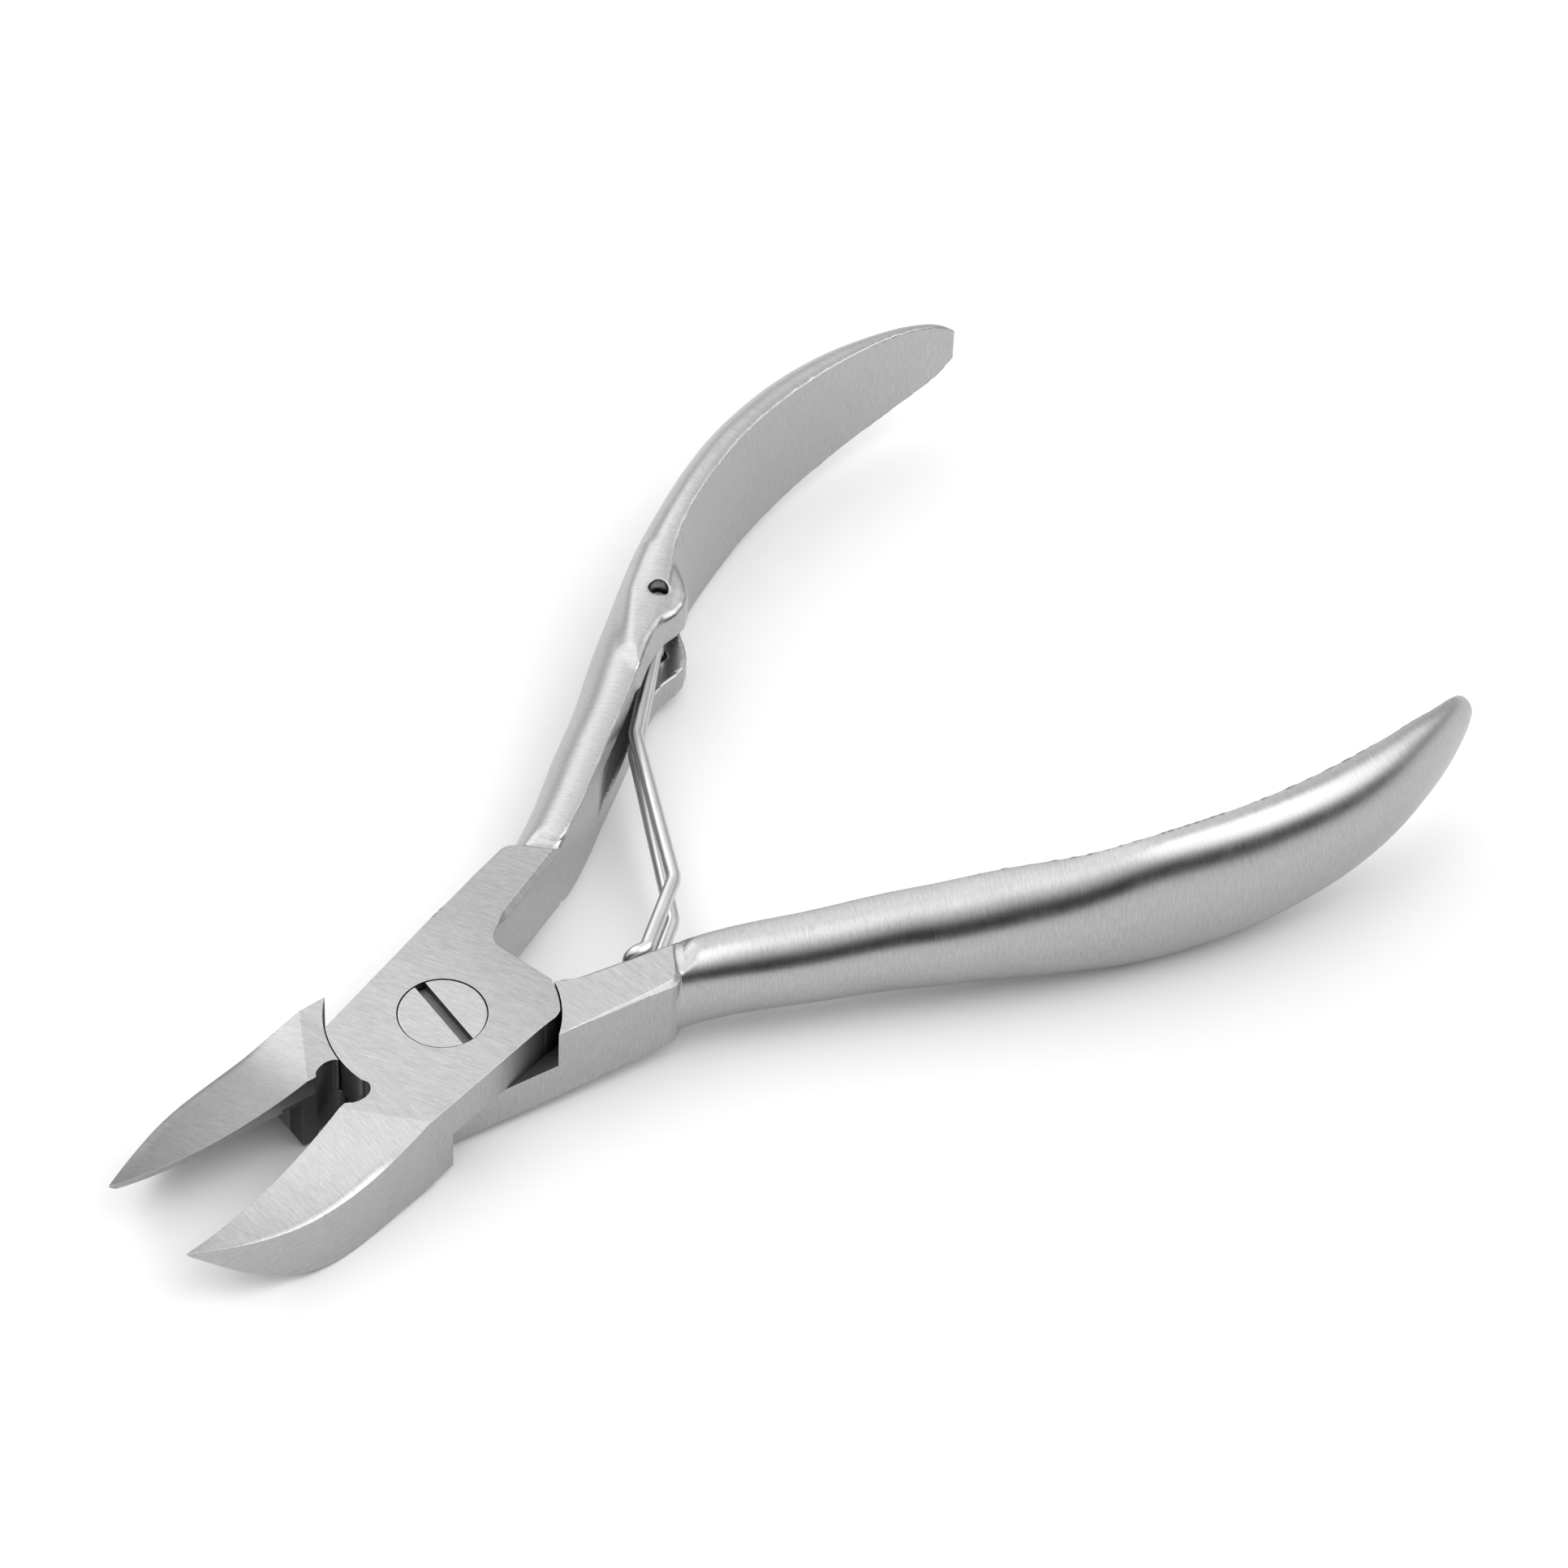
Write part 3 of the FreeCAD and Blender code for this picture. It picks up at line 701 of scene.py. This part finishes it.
    # painted shade on the inner faces between the jaws
    inner = (y < -7.2) & (y > -13.0) & (xj > 0.6) & (xj < 3.4) & (z < 4.8) & (n[:, 2] < 0.5)
    shade = np.where(inner, 0.34, shade)
    if hs < 0:
        # painted shade: the plate's wall darkens towards the shoulder corner
        corner = side & (x > 4.6) & (y > -2.5) & (y < 6.5)
        shade = np.where(corner, 1.0 - 0.80 * sstep(-1.8, 3.6, y), shade)
        # painted shade: the far end of the plate and its block are a little darker, where less light
        # reaches
        far_painted_shade = flat & (y > -4.0) & ~hsel
        shade = np.where(far_painted_shade, 1.0 - 0.17 * sstep(-2.0, 9.0, y), shade)
    else:
        # painted shade on the shelf of the lap joint
        shelf = flat & (np.abs(z - MID) < 0.4) & (r < 8.5)
        shade = np.where(shelf, 0.26, shade)
        # jaw B's top is darker from its root towards the tip
        top_b = jaw & (n[:, 2] > 0.5)
        shade = np.where(top_b, 0.93 - 0.34 * sstep(-9.0, -13.5, y), shade)
    # painted shade on the back walls of the lap
    back = side & (y > 6.5) & (r < 8.3) & (xj > -2.6)
    shade = np.where(back, 0.30, shade)
    return grain, brush, shade


def build_half(name, f, xs, ys, zs, handle, sign, angles):
    v, quads, crease = contour(f, xs, ys, zs)
    cn, fn = corner_normals(f, v, quads, crease)
    cen = v[quads].mean(1)[:, None, :]
    p = v[quads] * 0.8 + cen * 0.2
    g, b, s = brush_and_shade(p.reshape(-1, 3), cn.reshape(-1, 3), handle, sign, *angles)
    # grain coordinates belong at the corner itself, not at the sampled point
    g2, _, _ = brush_and_shade(v[quads].reshape(-1, 3), cn.reshape(-1, 3), handle, sign, *angles)
    same = np.abs(g2[:, 2] - g[:, 2]) < 2.0
    g = np.where(same[:, None], g2, g)
    print(name, "verts", len(v), "quads", len(quads), "crease", int(crease.sum()))
    return make_mesh(name, v, quads, cn, g, b, s)


D = math.radians
ys_all = steps([(-27.003, 18.0, 0.16), (18.0, 77.303, 0.24)])
zs_all = steps([(-3.107, 9.553, 0.158)])
upper = build_half("upper_half_steel", field_upper,
                   steps([(-31.211, -9.6, 0.22), (-9.6, 8.403, 0.16)]),
                   ys_all, zs_all, H_UP, -1.0, (D(-4.0), D(22.6), D(25.3)))
lower = build_half("lower_half_steel", field_lower,
                   steps([(-8.403, 9.6, 0.16), (9.6, 31.211, 0.22)]),
                   ys_all, zs_all, H_LO, 1.0, (D(17.0), D(22.6), D(1.8)))

sx = steps([(-3.303, 3.309, 0.085)])
v, quads, crease = contour(field_screw, sx, sx, steps([(-0.207, 6.61, 0.085)]))
cn, fn = corner_normals(field_screw, v, quads, crease)
p = v[quads].reshape(-1, 3)
n = cn.reshape(-1, 3)
aa = D(21.0)
gr = np.stack([math.cos(aa) * p[:, 0] + math.sin(aa) * p[:, 1],
               -math.sin(aa) * p[:, 0] + math.cos(aa) * p[:, 1],
               5.0 + p[:, 2] * 0.5], 1)
br = np.tile(np.array([[math.cos(aa), math.sin(aa), 0.0]]), (len(p), 1))
br = br - n * np.einsum("ij,ij->i", br, n)[:, None]
bl = np.linalg.norm(br, axis=1)
br = np.where((bl > 0.2)[:, None], br / np.maximum(bl, 1e-6)[:, None], np.array([[0, 0, 1.0]]))
cv = v[quads].mean(1)[:, None, :]
pin = (v[quads] * 0.7 + cv * 0.3).reshape(-1, 3)
vv = -math.sin(SLOT_A) * (pin[:, 0] - 0.05) + math.cos(SLOT_A) * (pin[:, 1] - 0.10)
in_slot = (np.abs(vv) < 0.435) & (pin[:, 2] < SCREW_TOP - 0.02) & (pin[:, 2] > SCREW_TOP - 0.70)
# painted shade in the slot and on the screw's side walls inside the counterbore
sh = np.where(in_slot, 0.34, np.where(np.abs(n[:, 2]) < 0.6, 0.3, 1.0))
screw = make_mesh("pivot_screw_steel", v, quads, cn, gr, br, sh)
print("screw quads", len(quads))


# -------------------------------------------------------------------- spring
def fillet_line(points, radii, step=0.12):
    """Points along straight runs joined by tangent arcs."""
    P = [np.array(p, float) for p in points]
    out = [P[0]]
    for i in range(1, len(P) - 1):
        u = P[i - 1] - P[i]
        w = P[i + 1] - P[i]
        u /= np.linalg.norm(u)
        w /= np.linalg.norm(w)
        ang = math.pi - math.acos(float(np.clip(u @ w, -1, 1)))
        t = radii[i] * math.tan(ang / 2)
        bis = u + w
        bis /= np.linalg.norm(bis)
        cc = P[i] + bis * (radii[i] / math.cos(ang / 2))
        s = P[i] + u * t
        e = P[i] + w * t
        a = (s - cc) / radii[i]
        b = (e - cc)
        b = b - a * (b @ a)
        b /= np.linalg.norm(b)
        last = out[-1]
        L = np.linalg.norm(s - last)
        m = max(1, int(L / 0.55))
        out += [last + (s - last) * k / m for k in range(1, m + 1)]
        m = max(4, int(radii[i] * ang / step))
        for k in range(1, m + 1):
            th = ang * k / m
            out.append(cc + radii[i] * (a * math.cos(th) + b * math.sin(th)))
    last = out[-1]
    L = np.linalg.norm(P[-1] - last)
    m = max(1, int(L / 0.4))
    out += [last + (P[-1] - last) * k / m for k in range(1, m + 1)]
    return np.array(out)


def spring_line():
    hx, hy = -18.8, 38.3
    b1, b2, foot = (-11.85, 29.50), (1.05, 21.05), (4.62, 14.95)
    end = (foot[0] - 0.31 * 1.25, foot[1] - 0.951 * 1.25)

    def leg(s):
        return [(hx, hy, MID + s * 4.0), (hx, hy, MID + s * 0.60),
                (b1[0], b1[1], MID + s * 1.05), (b2[0], b2[1], MID + s * 2.25),
                (foot[0], foot[1], MID + s * 2.35), (end[0], end[1], MID + s * 2.35)]
    pts = leg(1) + leg(-1)[::-1]
    return fillet_line(pts, [0, 0.85, 1.9, 1.9, 0.9, 0.75, 0.75, 0.9, 1.9, 1.9, 0.85, 0])


def tube(name, line, radius, sides=28):
    t = np.gradient(line, axis=0)
    t /= np.linalg.norm(t, axis=1)[:, None]
    # carried frame along the wire
    ref = np.array([1.0, 0, 0])
    u = ref - t[0] * (ref @ t[0])
    u /= np.linalg.norm(u)
    us = []
    for i in range(len(line)):
        u = u - t[i] * (u @ t[i])
        u /= np.linalg.norm(u)
        us.append(u.copy())
    us = np.array(us)
    ws = np.cross(t, us)
    a = np.linspace(0, 2 * np.pi, sides, endpoint=False)
    # both ends are slightly rounded where the wire was cut
    L = np.concatenate([[0], np.cumsum(np.linalg.norm(np.diff(line, axis=0), axis=1))])
    def ring(c, uu, ww, r):
        return c + r * (np.cos(a)[:, None] * uu + np.sin(a)[:, None] * ww)
    rows = []
    for rr in (0.35, 0.72, 0.92):
        rows.append(ring(line[0], us[0], ws[0], radius * rr))
    bev = 0.10
    rows.append(ring(line[0] + t[0] * 0.03, us[0], ws[0], radius * 0.985))
    for i in range(len(line)):
        if L[i] < bev or L[-1] - L[i] < bev:
            if i not in (0, len(line) - 1):
                continue
        if i == 0:
            rows.append(ring(line[0] + t[0] * bev, us[0], ws[0], radius))
        elif i == len(line) - 1:
            rows.append(ring(line[-1] - t[-1] * bev, us[-1], ws[-1], radius))
        else:
            rows.append(ring(line[i], us[i], ws[i], radius))
    rows.append(ring(line[-1] - t[-1] * 0.03, us[-1], ws[-1], radius * 0.985))
    for rr in (0.92, 0.72, 0.35):
        rows.append(ring(line[-1], us[-1], ws[-1], radius * rr))
    V = np.concatenate(rows)
    nr = len(rows)
    faces = []
    for i in range(nr - 1):
        for k in range(sides):
            k2 = (k + 1) % sides
            faces.append((i * sides + k, i * sides + k2, (i + 1) * sides + k2, (i + 1) * sides + k))
    c0, c1 = len(V), len(V) + 1
    V = np.concatenate([V, line[:1], line[-1:]])
    for k in range(sides):
        k2 = (k + 1) % sides
        faces.append((c0, k2, k))
        o = (nr - 1) * sides
        faces.append((c1, o + k, o + k2))
    me = bpy.data.meshes.new(name)
    me.from_pydata((V * MM).tolist(), [], faces)
    me.update()
    me.polygons.foreach_set("use_smooth", np.ones(len(me.polygons), bool))
    # distance along the wire and angle around it, for the drawing marks
    rowlen = np.concatenate([[L[0]] * 4, np.linspace(0, L[-1], nr - 8), [L[-1]] * 4])
    al = np.concatenate([np.repeat(rowlen, sides), [0, L[-1]]])
    ar = np.concatenate([np.tile(a, nr), [0, 0]])
    at = me.attributes.new("wire", "FLOAT_VECTOR", "POINT")
    w3 = np.stack([al, np.cos(ar), np.sin(ar)], 1)
    at.data.foreach_set("vector", w3.astype(np.float32).ravel())
    ob = bpy.data.objects.new(name, me)
    bpy.context.scene.collection.objects.link(ob)
    return ob


spring = tube("wire_spring_steel", spring_line(), 0.53)


# ----------------------------------------------------------------- materials
class Nodes:
    def __init__(self, name):
        self.mat = bpy.data.materials.new(name)
        self.mat.use_nodes = True
        self.t = self.mat.node_tree
        self.t.nodes.clear()
        self.out = self.t.nodes.new("ShaderNodeOutputMaterial")
        self.bsdf = self.t.nodes.new("ShaderNodeBsdfPrincipled")
        self.t.links.new(self.bsdf.outputs[0], self.out.inputs[0])

    def new(self, kind, **kw):
        n = self.t.nodes.new(kind)
        for k, v in kw.items():
            setattr(n, k, v)
        return n

    def link(self, a, b):
        self.t.links.new(a, b)

    def math(self, op, a, b=None, c=None, clamp=False):
        n = self.new("ShaderNodeMath", operation=op, use_clamp=clamp)
        for i, s in enumerate((a, b, c)):
            if s is None:
                continue
            if isinstance(s, (int, float)):
                n.inputs[i].default_value = s
            else:
                self.link(s, n.inputs[i])
        return n.outputs[0]

    def vmath(self, op, a, b=None):
        n = self.new("ShaderNodeVectorMath", operation=op)
        for i, s in enumerate((a, b)):
            if s is None:
                continue
            if isinstance(s, (tuple, list)):
                n.inputs[i].default_value = s
            else:
                self.link(s, n.inputs[i])
        return n.outputs["Value"] if op in ("DOT_PRODUCT", "LENGTH") else n.outputs[0]

    def attr(self, name, vector=True):
        n = self.new("ShaderNodeAttribute", attribute_name=name)
        return n.outputs["Vector"] if vector else n.outputs["Fac"]

    def noise(self, vec, scale=1.0, detail=3.0, rough=0.55, distortion=0.0):
        n = self.new("ShaderNodeTexNoise", noise_dimensions="3D")
        self.link(vec, n.inputs["Vector"])
        n.inputs["Scale"].default_value = scale
        n.inputs["Detail"].default_value = detail
        n.inputs["Roughness"].default_value = rough
        n.inputs["Distortion"].default_value = distortion
        return n.outputs["Fac"] if "Fac" in n.outputs else n.outputs[0]

    def ramp(self, fac, a, b, lo=0.0, hi=1.0):
        n = self.new("ShaderNodeMapRange", clamp=True, interpolation_type="SMOOTHSTEP")
        self.link(fac, n.inputs["Value"])
        n.inputs["From Min"].default_value = a
        n.inputs["From Max"].default_value = b
        n.inputs["To Min"].default_value = lo
        n.inputs["To Max"].default_value = hi
        return n.outputs[0]

    def grey(self, val):
        n = self.new("ShaderNodeCombineColor")
        for k in range(3):
            self.link(val, n.inputs[k])
        return n.outputs[0]


def satin_steel(name, base=0.42, rough=0.32, aniso=0.55, bump=0.80, edge=0.06):
    m = Nodes(name)
    g = m.attr("grain")
    # long fine brush lines, two widths, plus slow cloudiness of the finish
    fine = m.noise(m.vmath("MULTIPLY", g, (0.95, 7.0, 1.0)), 1.0, 2.0, 0.60)
    wide = m.noise(m.vmath("MULTIPLY", g, (0.32, 3.0, 1.0)), 1.0, 2.0, 0.5)
    grit = m.noise(m.vmath("MULTIPLY", g, (2.6, 9.0, 1.0)), 1.0, 2.0, 0.6)
    cloud = m.noise(m.vmath("MULTIPLY", g, (0.30, 0.35, 1.0)), 1.0, 2.0, 0.5)
    f0 = m.math("SUBTRACT", fine, 0.5)
    w0 = m.math("SUBTRACT", wide, 0.5)
    c0 = m.math("SUBTRACT", cloud, 0.5)
    g0 = m.math("SUBTRACT", grit, 0.5)
    scratch = m.ramp(fine, 0.66, 0.80)
    shade = m.attr("shade", False)
    # softened edges: the bevel normal rounds their shading, and a painted highlight lightens them
    bev = m.new("ShaderNodeBevel", samples=6)
    bev.inputs["Radius"].default_value = edge * MM
    geo = m.new("ShaderNodeNewGeometry")
    dot = m.vmath("DOT_PRODUCT", bev.outputs[0], geo.outputs["Normal"])
    edge_highlight = m.ramp(dot, 0.992, 0.90)
    tone = m.math("ADD", 1.0, m.math("MULTIPLY", f0, 0.50))
    tone = m.math("ADD", tone, m.math("MULTIPLY", w0, 0.10))
    tone = m.math("ADD", tone, m.math("MULTIPLY", c0, 0.10))
    tone = m.math("ADD", tone, m.math("MULTIPLY", g0, 0.30))
    tone = m.math("ADD", tone, m.math("MULTIPLY", scratch, 0.06))
    tone = m.math("MULTIPLY", tone, base)
    tone = m.math("MULTIPLY", tone, shade)
    # painted highlight: the softened edges are painted lighter
    tone = m.math("ADD", tone, m.math("MULTIPLY", m.math("MULTIPLY", edge_highlight, shade), 0.16))
    m.link(m.grey(tone), m.bsdf.inputs["Base Color"])
    r = m.math("ADD", rough, m.math("MULTIPLY", f0, 0.16))
    r = m.math("ADD", r, m.math("MULTIPLY", c0, 0.10))
    r = m.math("ADD", r, m.math("MULTIPLY", m.math("SUBTRACT", 1.0, shade), 0.22))
    r = m.math("SUBTRACT", r, m.math("MULTIPLY", edge_highlight, 0.05), clamp=True)
    m.link(r, m.bsdf.inputs["Roughness"])
    m.bsdf.inputs["Metallic"].default_value = 1.0
    m.bsdf.inputs["Anisotropic"].default_value = aniso
    # the wide side of the gloss lies across the brush lines
    m.bsdf.inputs["Anisotropic Rotation"].default_value = 0.25
    height = m.math("ADD", m.math("MULTIPLY", fine, 1.0), m.math("MULTIPLY", grit, 0.5))
    b = m.new("ShaderNodeBump")
    b.inputs["Strength"].default_value = bump
    b.inputs["Distance"].default_value = 0.0022 * MM
    m.link(height, b.inputs["Height"])
    m.link(bev.outputs[0], b.inputs["Normal"])
    m.link(b.outputs[0], m.bsdf.inputs["Normal"])
    tr = m.new("ShaderNodeVectorTransform", vector_type="VECTOR", convert_from="OBJECT", convert_to="WORLD")
    m.link(m.attr("brush"), tr.inputs[0])
    m.link(tr.outputs[0], m.bsdf.inputs["Tangent"])
    return m.mat


def wire_steel(name):
    m = Nodes(name)
    w = m.attr("wire")
    # faint marks drawn along the wire, and slow patches
    draw = m.noise(m.vmath("MULTIPLY", w, (0.25, 7.0, 7.0)), 1.0, 3.0, 0.6)
    patch = m.noise(m.vmath("MULTIPLY", w, (0.7, 0.8, 0.8)), 1.0, 3.0, 0.5)
    t = m.math("ADD", 0.56, m.math("MULTIPLY", m.math("SUBTRACT", draw, 0.5), 0.14))
    t = m.math("ADD", t, m.math("MULTIPLY", m.math("SUBTRACT", patch, 0.5), 0.16))
    m.link(m.grey(t), m.bsdf.inputs["Base Color"])
    r = m.math("ADD", 0.22, m.math("MULTIPLY", patch, 0.10))
    r = m.math("ADD", r, m.math("MULTIPLY", draw, 0.05))
    m.link(r, m.bsdf.inputs["Roughness"])
    m.bsdf.inputs["Metallic"].default_value = 1.0
    b = m.new("ShaderNodeBump")
    b.inputs["Strength"].default_value = 0.25
    b.inputs["Distance"].default_value = 0.002 * MM
    m.link(draw, b.inputs["Height"])
    m.link(b.outputs[0], m.bsdf.inputs["Normal"])
    return m.mat


steel = satin_steel("satin_steel_look")
steel_screw = satin_steel("screw_steel_look", base=0.44, rough=0.33, aniso=0.5, bump=0.5, edge=0.05)
wire = wire_steel("spring_wire_look")

for ob, mat in ((upper, steel), (lower, steel), (screw, steel_screw), (spring, wire)):
    ob.data.materials.append(mat)
# the hidden CAD nodes carry the same looks
for node, mat in (("upper_half", steel), ("lower_half", steel),
                  ("pivot_screw", steel_screw), ("wire_spring", wire)):
    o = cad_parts[node]
    for s in range(len(o.data.materials)):
        o.material_slots[s].material = mat

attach(upper, "upper_half")
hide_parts("upper_half")
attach(lower, "lower_half")
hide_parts("lower_half")
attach(screw, "lower_half")
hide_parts("pivot_screw")
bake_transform(spring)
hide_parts("wire_spring")


# --------------------------------------------------------------------- stage
def lowest_slope():
    """Table slope: it touches the underside of the front and the handles."""
    best = 0.0
    for ob in (upper, lower):
        co = np.zeros(len(ob.data.vertices) * 3, np.float32)
        ob.data.vertices.foreach_get("co", co)
        co = co.reshape(-1, 3) / MM
        s = co[co[:, 1] > 25]
        best = min(best, float(((s[:, 2] + 0.02) / (s[:, 1] + 15.5)).min()))
    return best


slope = lowest_slope()
size = 1.6
me = bpy.data.meshes.new("table")
nn = 24
gx, gy = np.meshgrid(np.linspace(-size, size, nn + 1), np.linspace(-size, size, nn + 1), indexing="ij")
gz = -0.02 * MM + (gy + 15.5 * MM) * slope - 0.01 * MM
V = np.stack([gx.ravel(), gy.ravel(), gz.ravel()], 1)
Fq = []
for i in range(nn):
    for j in range(nn):
        a = i * (nn + 1) + j
        Fq.append((a, a + nn + 1, a + nn + 2, a + 1))
me.from_pydata(V.tolist(), [], Fq)
me.update()
table = bpy.data.objects.new("table", me)
bpy.context.scene.collection.objects.link(table)
m = Nodes("table_white")
tc = m.new("ShaderNodeTexCoord")
pn = m.noise(tc.outputs["Object"], 260.0, 2.0, 0.5)
tt = m.math("ADD", 0.79, m.math("MULTIPLY", m.math("SUBTRACT", pn, 0.5), 0.01))
m.link(m.grey(tt), m.bsdf.inputs["Base Color"])
m.bsdf.inputs["Roughness"].default_value = 0.75
m.bsdf.inputs["Specular IOR Level"].default_value = 0.15
# painted light: the table glows faintly, which lifts the shadows on it
m.bsdf.inputs["Emission Color"].default_value = (1, 1, 1, 1)
m.bsdf.inputs["Emission Strength"].default_value = 0.03
table.data.materials.append(m.mat)


# -------------------------------------------------------------------- lights
world = bpy.data.worlds.new("studio")
bpy.context.scene.world = world
world.use_nodes = True
wt = world.node_tree
wt.nodes.clear()
wo = wt.nodes.new("ShaderNodeOutputWorld")
bg = wt.nodes.new("ShaderNodeBackground")
wt.links.new(bg.outputs[0], wo.inputs[0])
tcw = wt.nodes.new("ShaderNodeTexCoord")
nrm = wt.nodes.new("ShaderNodeVectorMath")
nrm.operation = "NORMALIZE"
wt.links.new(tcw.outputs["Generated"], nrm.inputs[0])


def w_math(op, a, b=None, clamp=False):
    n = wt.nodes.new("ShaderNodeMath")
    n.operation = op
    n.use_clamp = clamp
    for i, s in enumerate((a, b)):
        if s is None:
            continue
        if isinstance(s, (int, float)):
            n.inputs[i].default_value = s
        else:
            wt.links.new(s, n.inputs[i])
    return n.outputs[0]


def w_dot(v):
    n = wt.nodes.new("ShaderNodeVectorMath")
    n.operation = "DOT_PRODUCT"
    wt.links.new(nrm.outputs[0], n.inputs[0])
    n.inputs[1].default_value = v
    return n.outputs["Value"]


def w_ramp(s, a, b, lo=0.0, hi=1.0):
    n = wt.nodes.new("ShaderNodeMapRange")
    n.interpolation_type = "SMOOTHSTEP"
    wt.links.new(s, n.inputs["Value"])
    n.inputs["From Min"].default_value = a
    n.inputs["From Max"].default_value = b
    n.inputs["To Min"].default_value = lo
    n.inputs["To Max"].default_value = hi
    return n.outputs[0]


def unit(v):
    q = math.sqrt(sum(c * c for c in v))
    return tuple(c / q for c in v)


el = w_dot((0.0, 0.0, 1.0))
# even grey room, a little lighter on the left
gl = w_dot((-0.90, -0.45, 0.0))
pan = w_ramp(gl, -0.18, 0.26, 0.88, 1.36)
tent = w_math("MULTIPLY", pan, w_ramp(el, 0.0, 0.72, 0.56, 1.0))
tent = w_math("MULTIPLY", tent, w_ramp(el, 0.74, 0.95, 1.0, 1.45))
# dark opening low on the right, reaching highest towards the front
right = w_ramp(w_dot(unit((0.766, -0.643, 0.0))), -0.05, 0.30)
lift = w_ramp(w_dot(unit((0.342, -0.940, 0.0))), 0.46, 0.80, 0.0, 0.46)
low = w_math("SUBTRACT", 1.0, w_ramp(w_math("SUBTRACT", el, lift), 0.26, 0.56))
darker = w_math("MULTIPLY", right, low)
tent = w_math("MULTIPLY", tent, w_math("SUBTRACT", 1.0, w_math("MULTIPLY", darker, 0.995)))
# soft box high behind the right handle
box = w_ramp(w_dot(unit((0.52, 0.40, 0.755))), 0.82, 0.97, 0.0, 2.10)
total = w_math("ADD", tent, box)
wt.links.new(total, bg.inputs["Strength"])
bg.inputs["Color"].default_value = (1, 1, 1, 1)


def area(name, at, aim, size_xy, power):
    d = bpy.data.lights.new(name, "AREA")
    d.shape = "RECTANGLE"
    d.size, d.size_y = size_xy
    d.energy = power
    o = bpy.data.objects.new(name, d)
    bpy.context.scene.collection.objects.link(o)
    f = np.array(aim, float) - np.array(at, float)
    f /= np.linalg.norm(f)
    from mathutils import Vector
    o.rotation_euler = Vector(f).to_track_quat("-Z", "Y").to_euler()
    o.location = at
    return o


area("key_left", (-0.62, 0.05, 0.50), (0.0, 0.02, 0.0), (0.50, 0.50), 0.7)

# -------------------------------------------------------------------- camera
cam = bpy.data.cameras.new("camera")
cam.sensor_fit = "HORIZONTAL"
cam.sensor_width = 36.0
cam.lens = 150.466
cam.clip_start = 0.01
cam.clip_end = 20.0
co = bpy.data.objects.new("camera", cam)
bpy.context.scene.collection.objects.link(co)
phi, rho, psi = math.radians(46.59), -0.0465, math.radians(46.19)
R0 = np.array([[1, 0, 0], [0, -math.sin(phi), -math.cos(phi)], [0, math.cos(phi), -math.sin(phi)]])
Rr = np.array([[math.cos(rho), math.sin(rho), 0], [-math.sin(rho), math.cos(rho), 0], [0, 0, 1]]) @ R0
G = np.array([[math.sin(psi), -math.cos(psi), 0], [math.cos(psi), math.sin(psi), 0], [0, 0, 1]])
right_v, down_v, fwd_v = (G @ Rr[0], G @ Rr[1], G @ Rr[2])
from mathutils import Matrix
rot = np.stack([right_v, -down_v, -fwd_v], 1)
M4 = np.eye(4)
M4[:3, :3] = rot
M4[:3, 3] = np.array([222.555, -199.132, 345.725]) * MM
co.matrix_world = Matrix(M4.tolist())
bpy.context.scene.camera = co
bpy.context.scene.view_settings.view_transform = "Standard"
bpy.context.scene.view_settings.look = "None"
bpy.context.scene.view_settings.exposure = 0.0

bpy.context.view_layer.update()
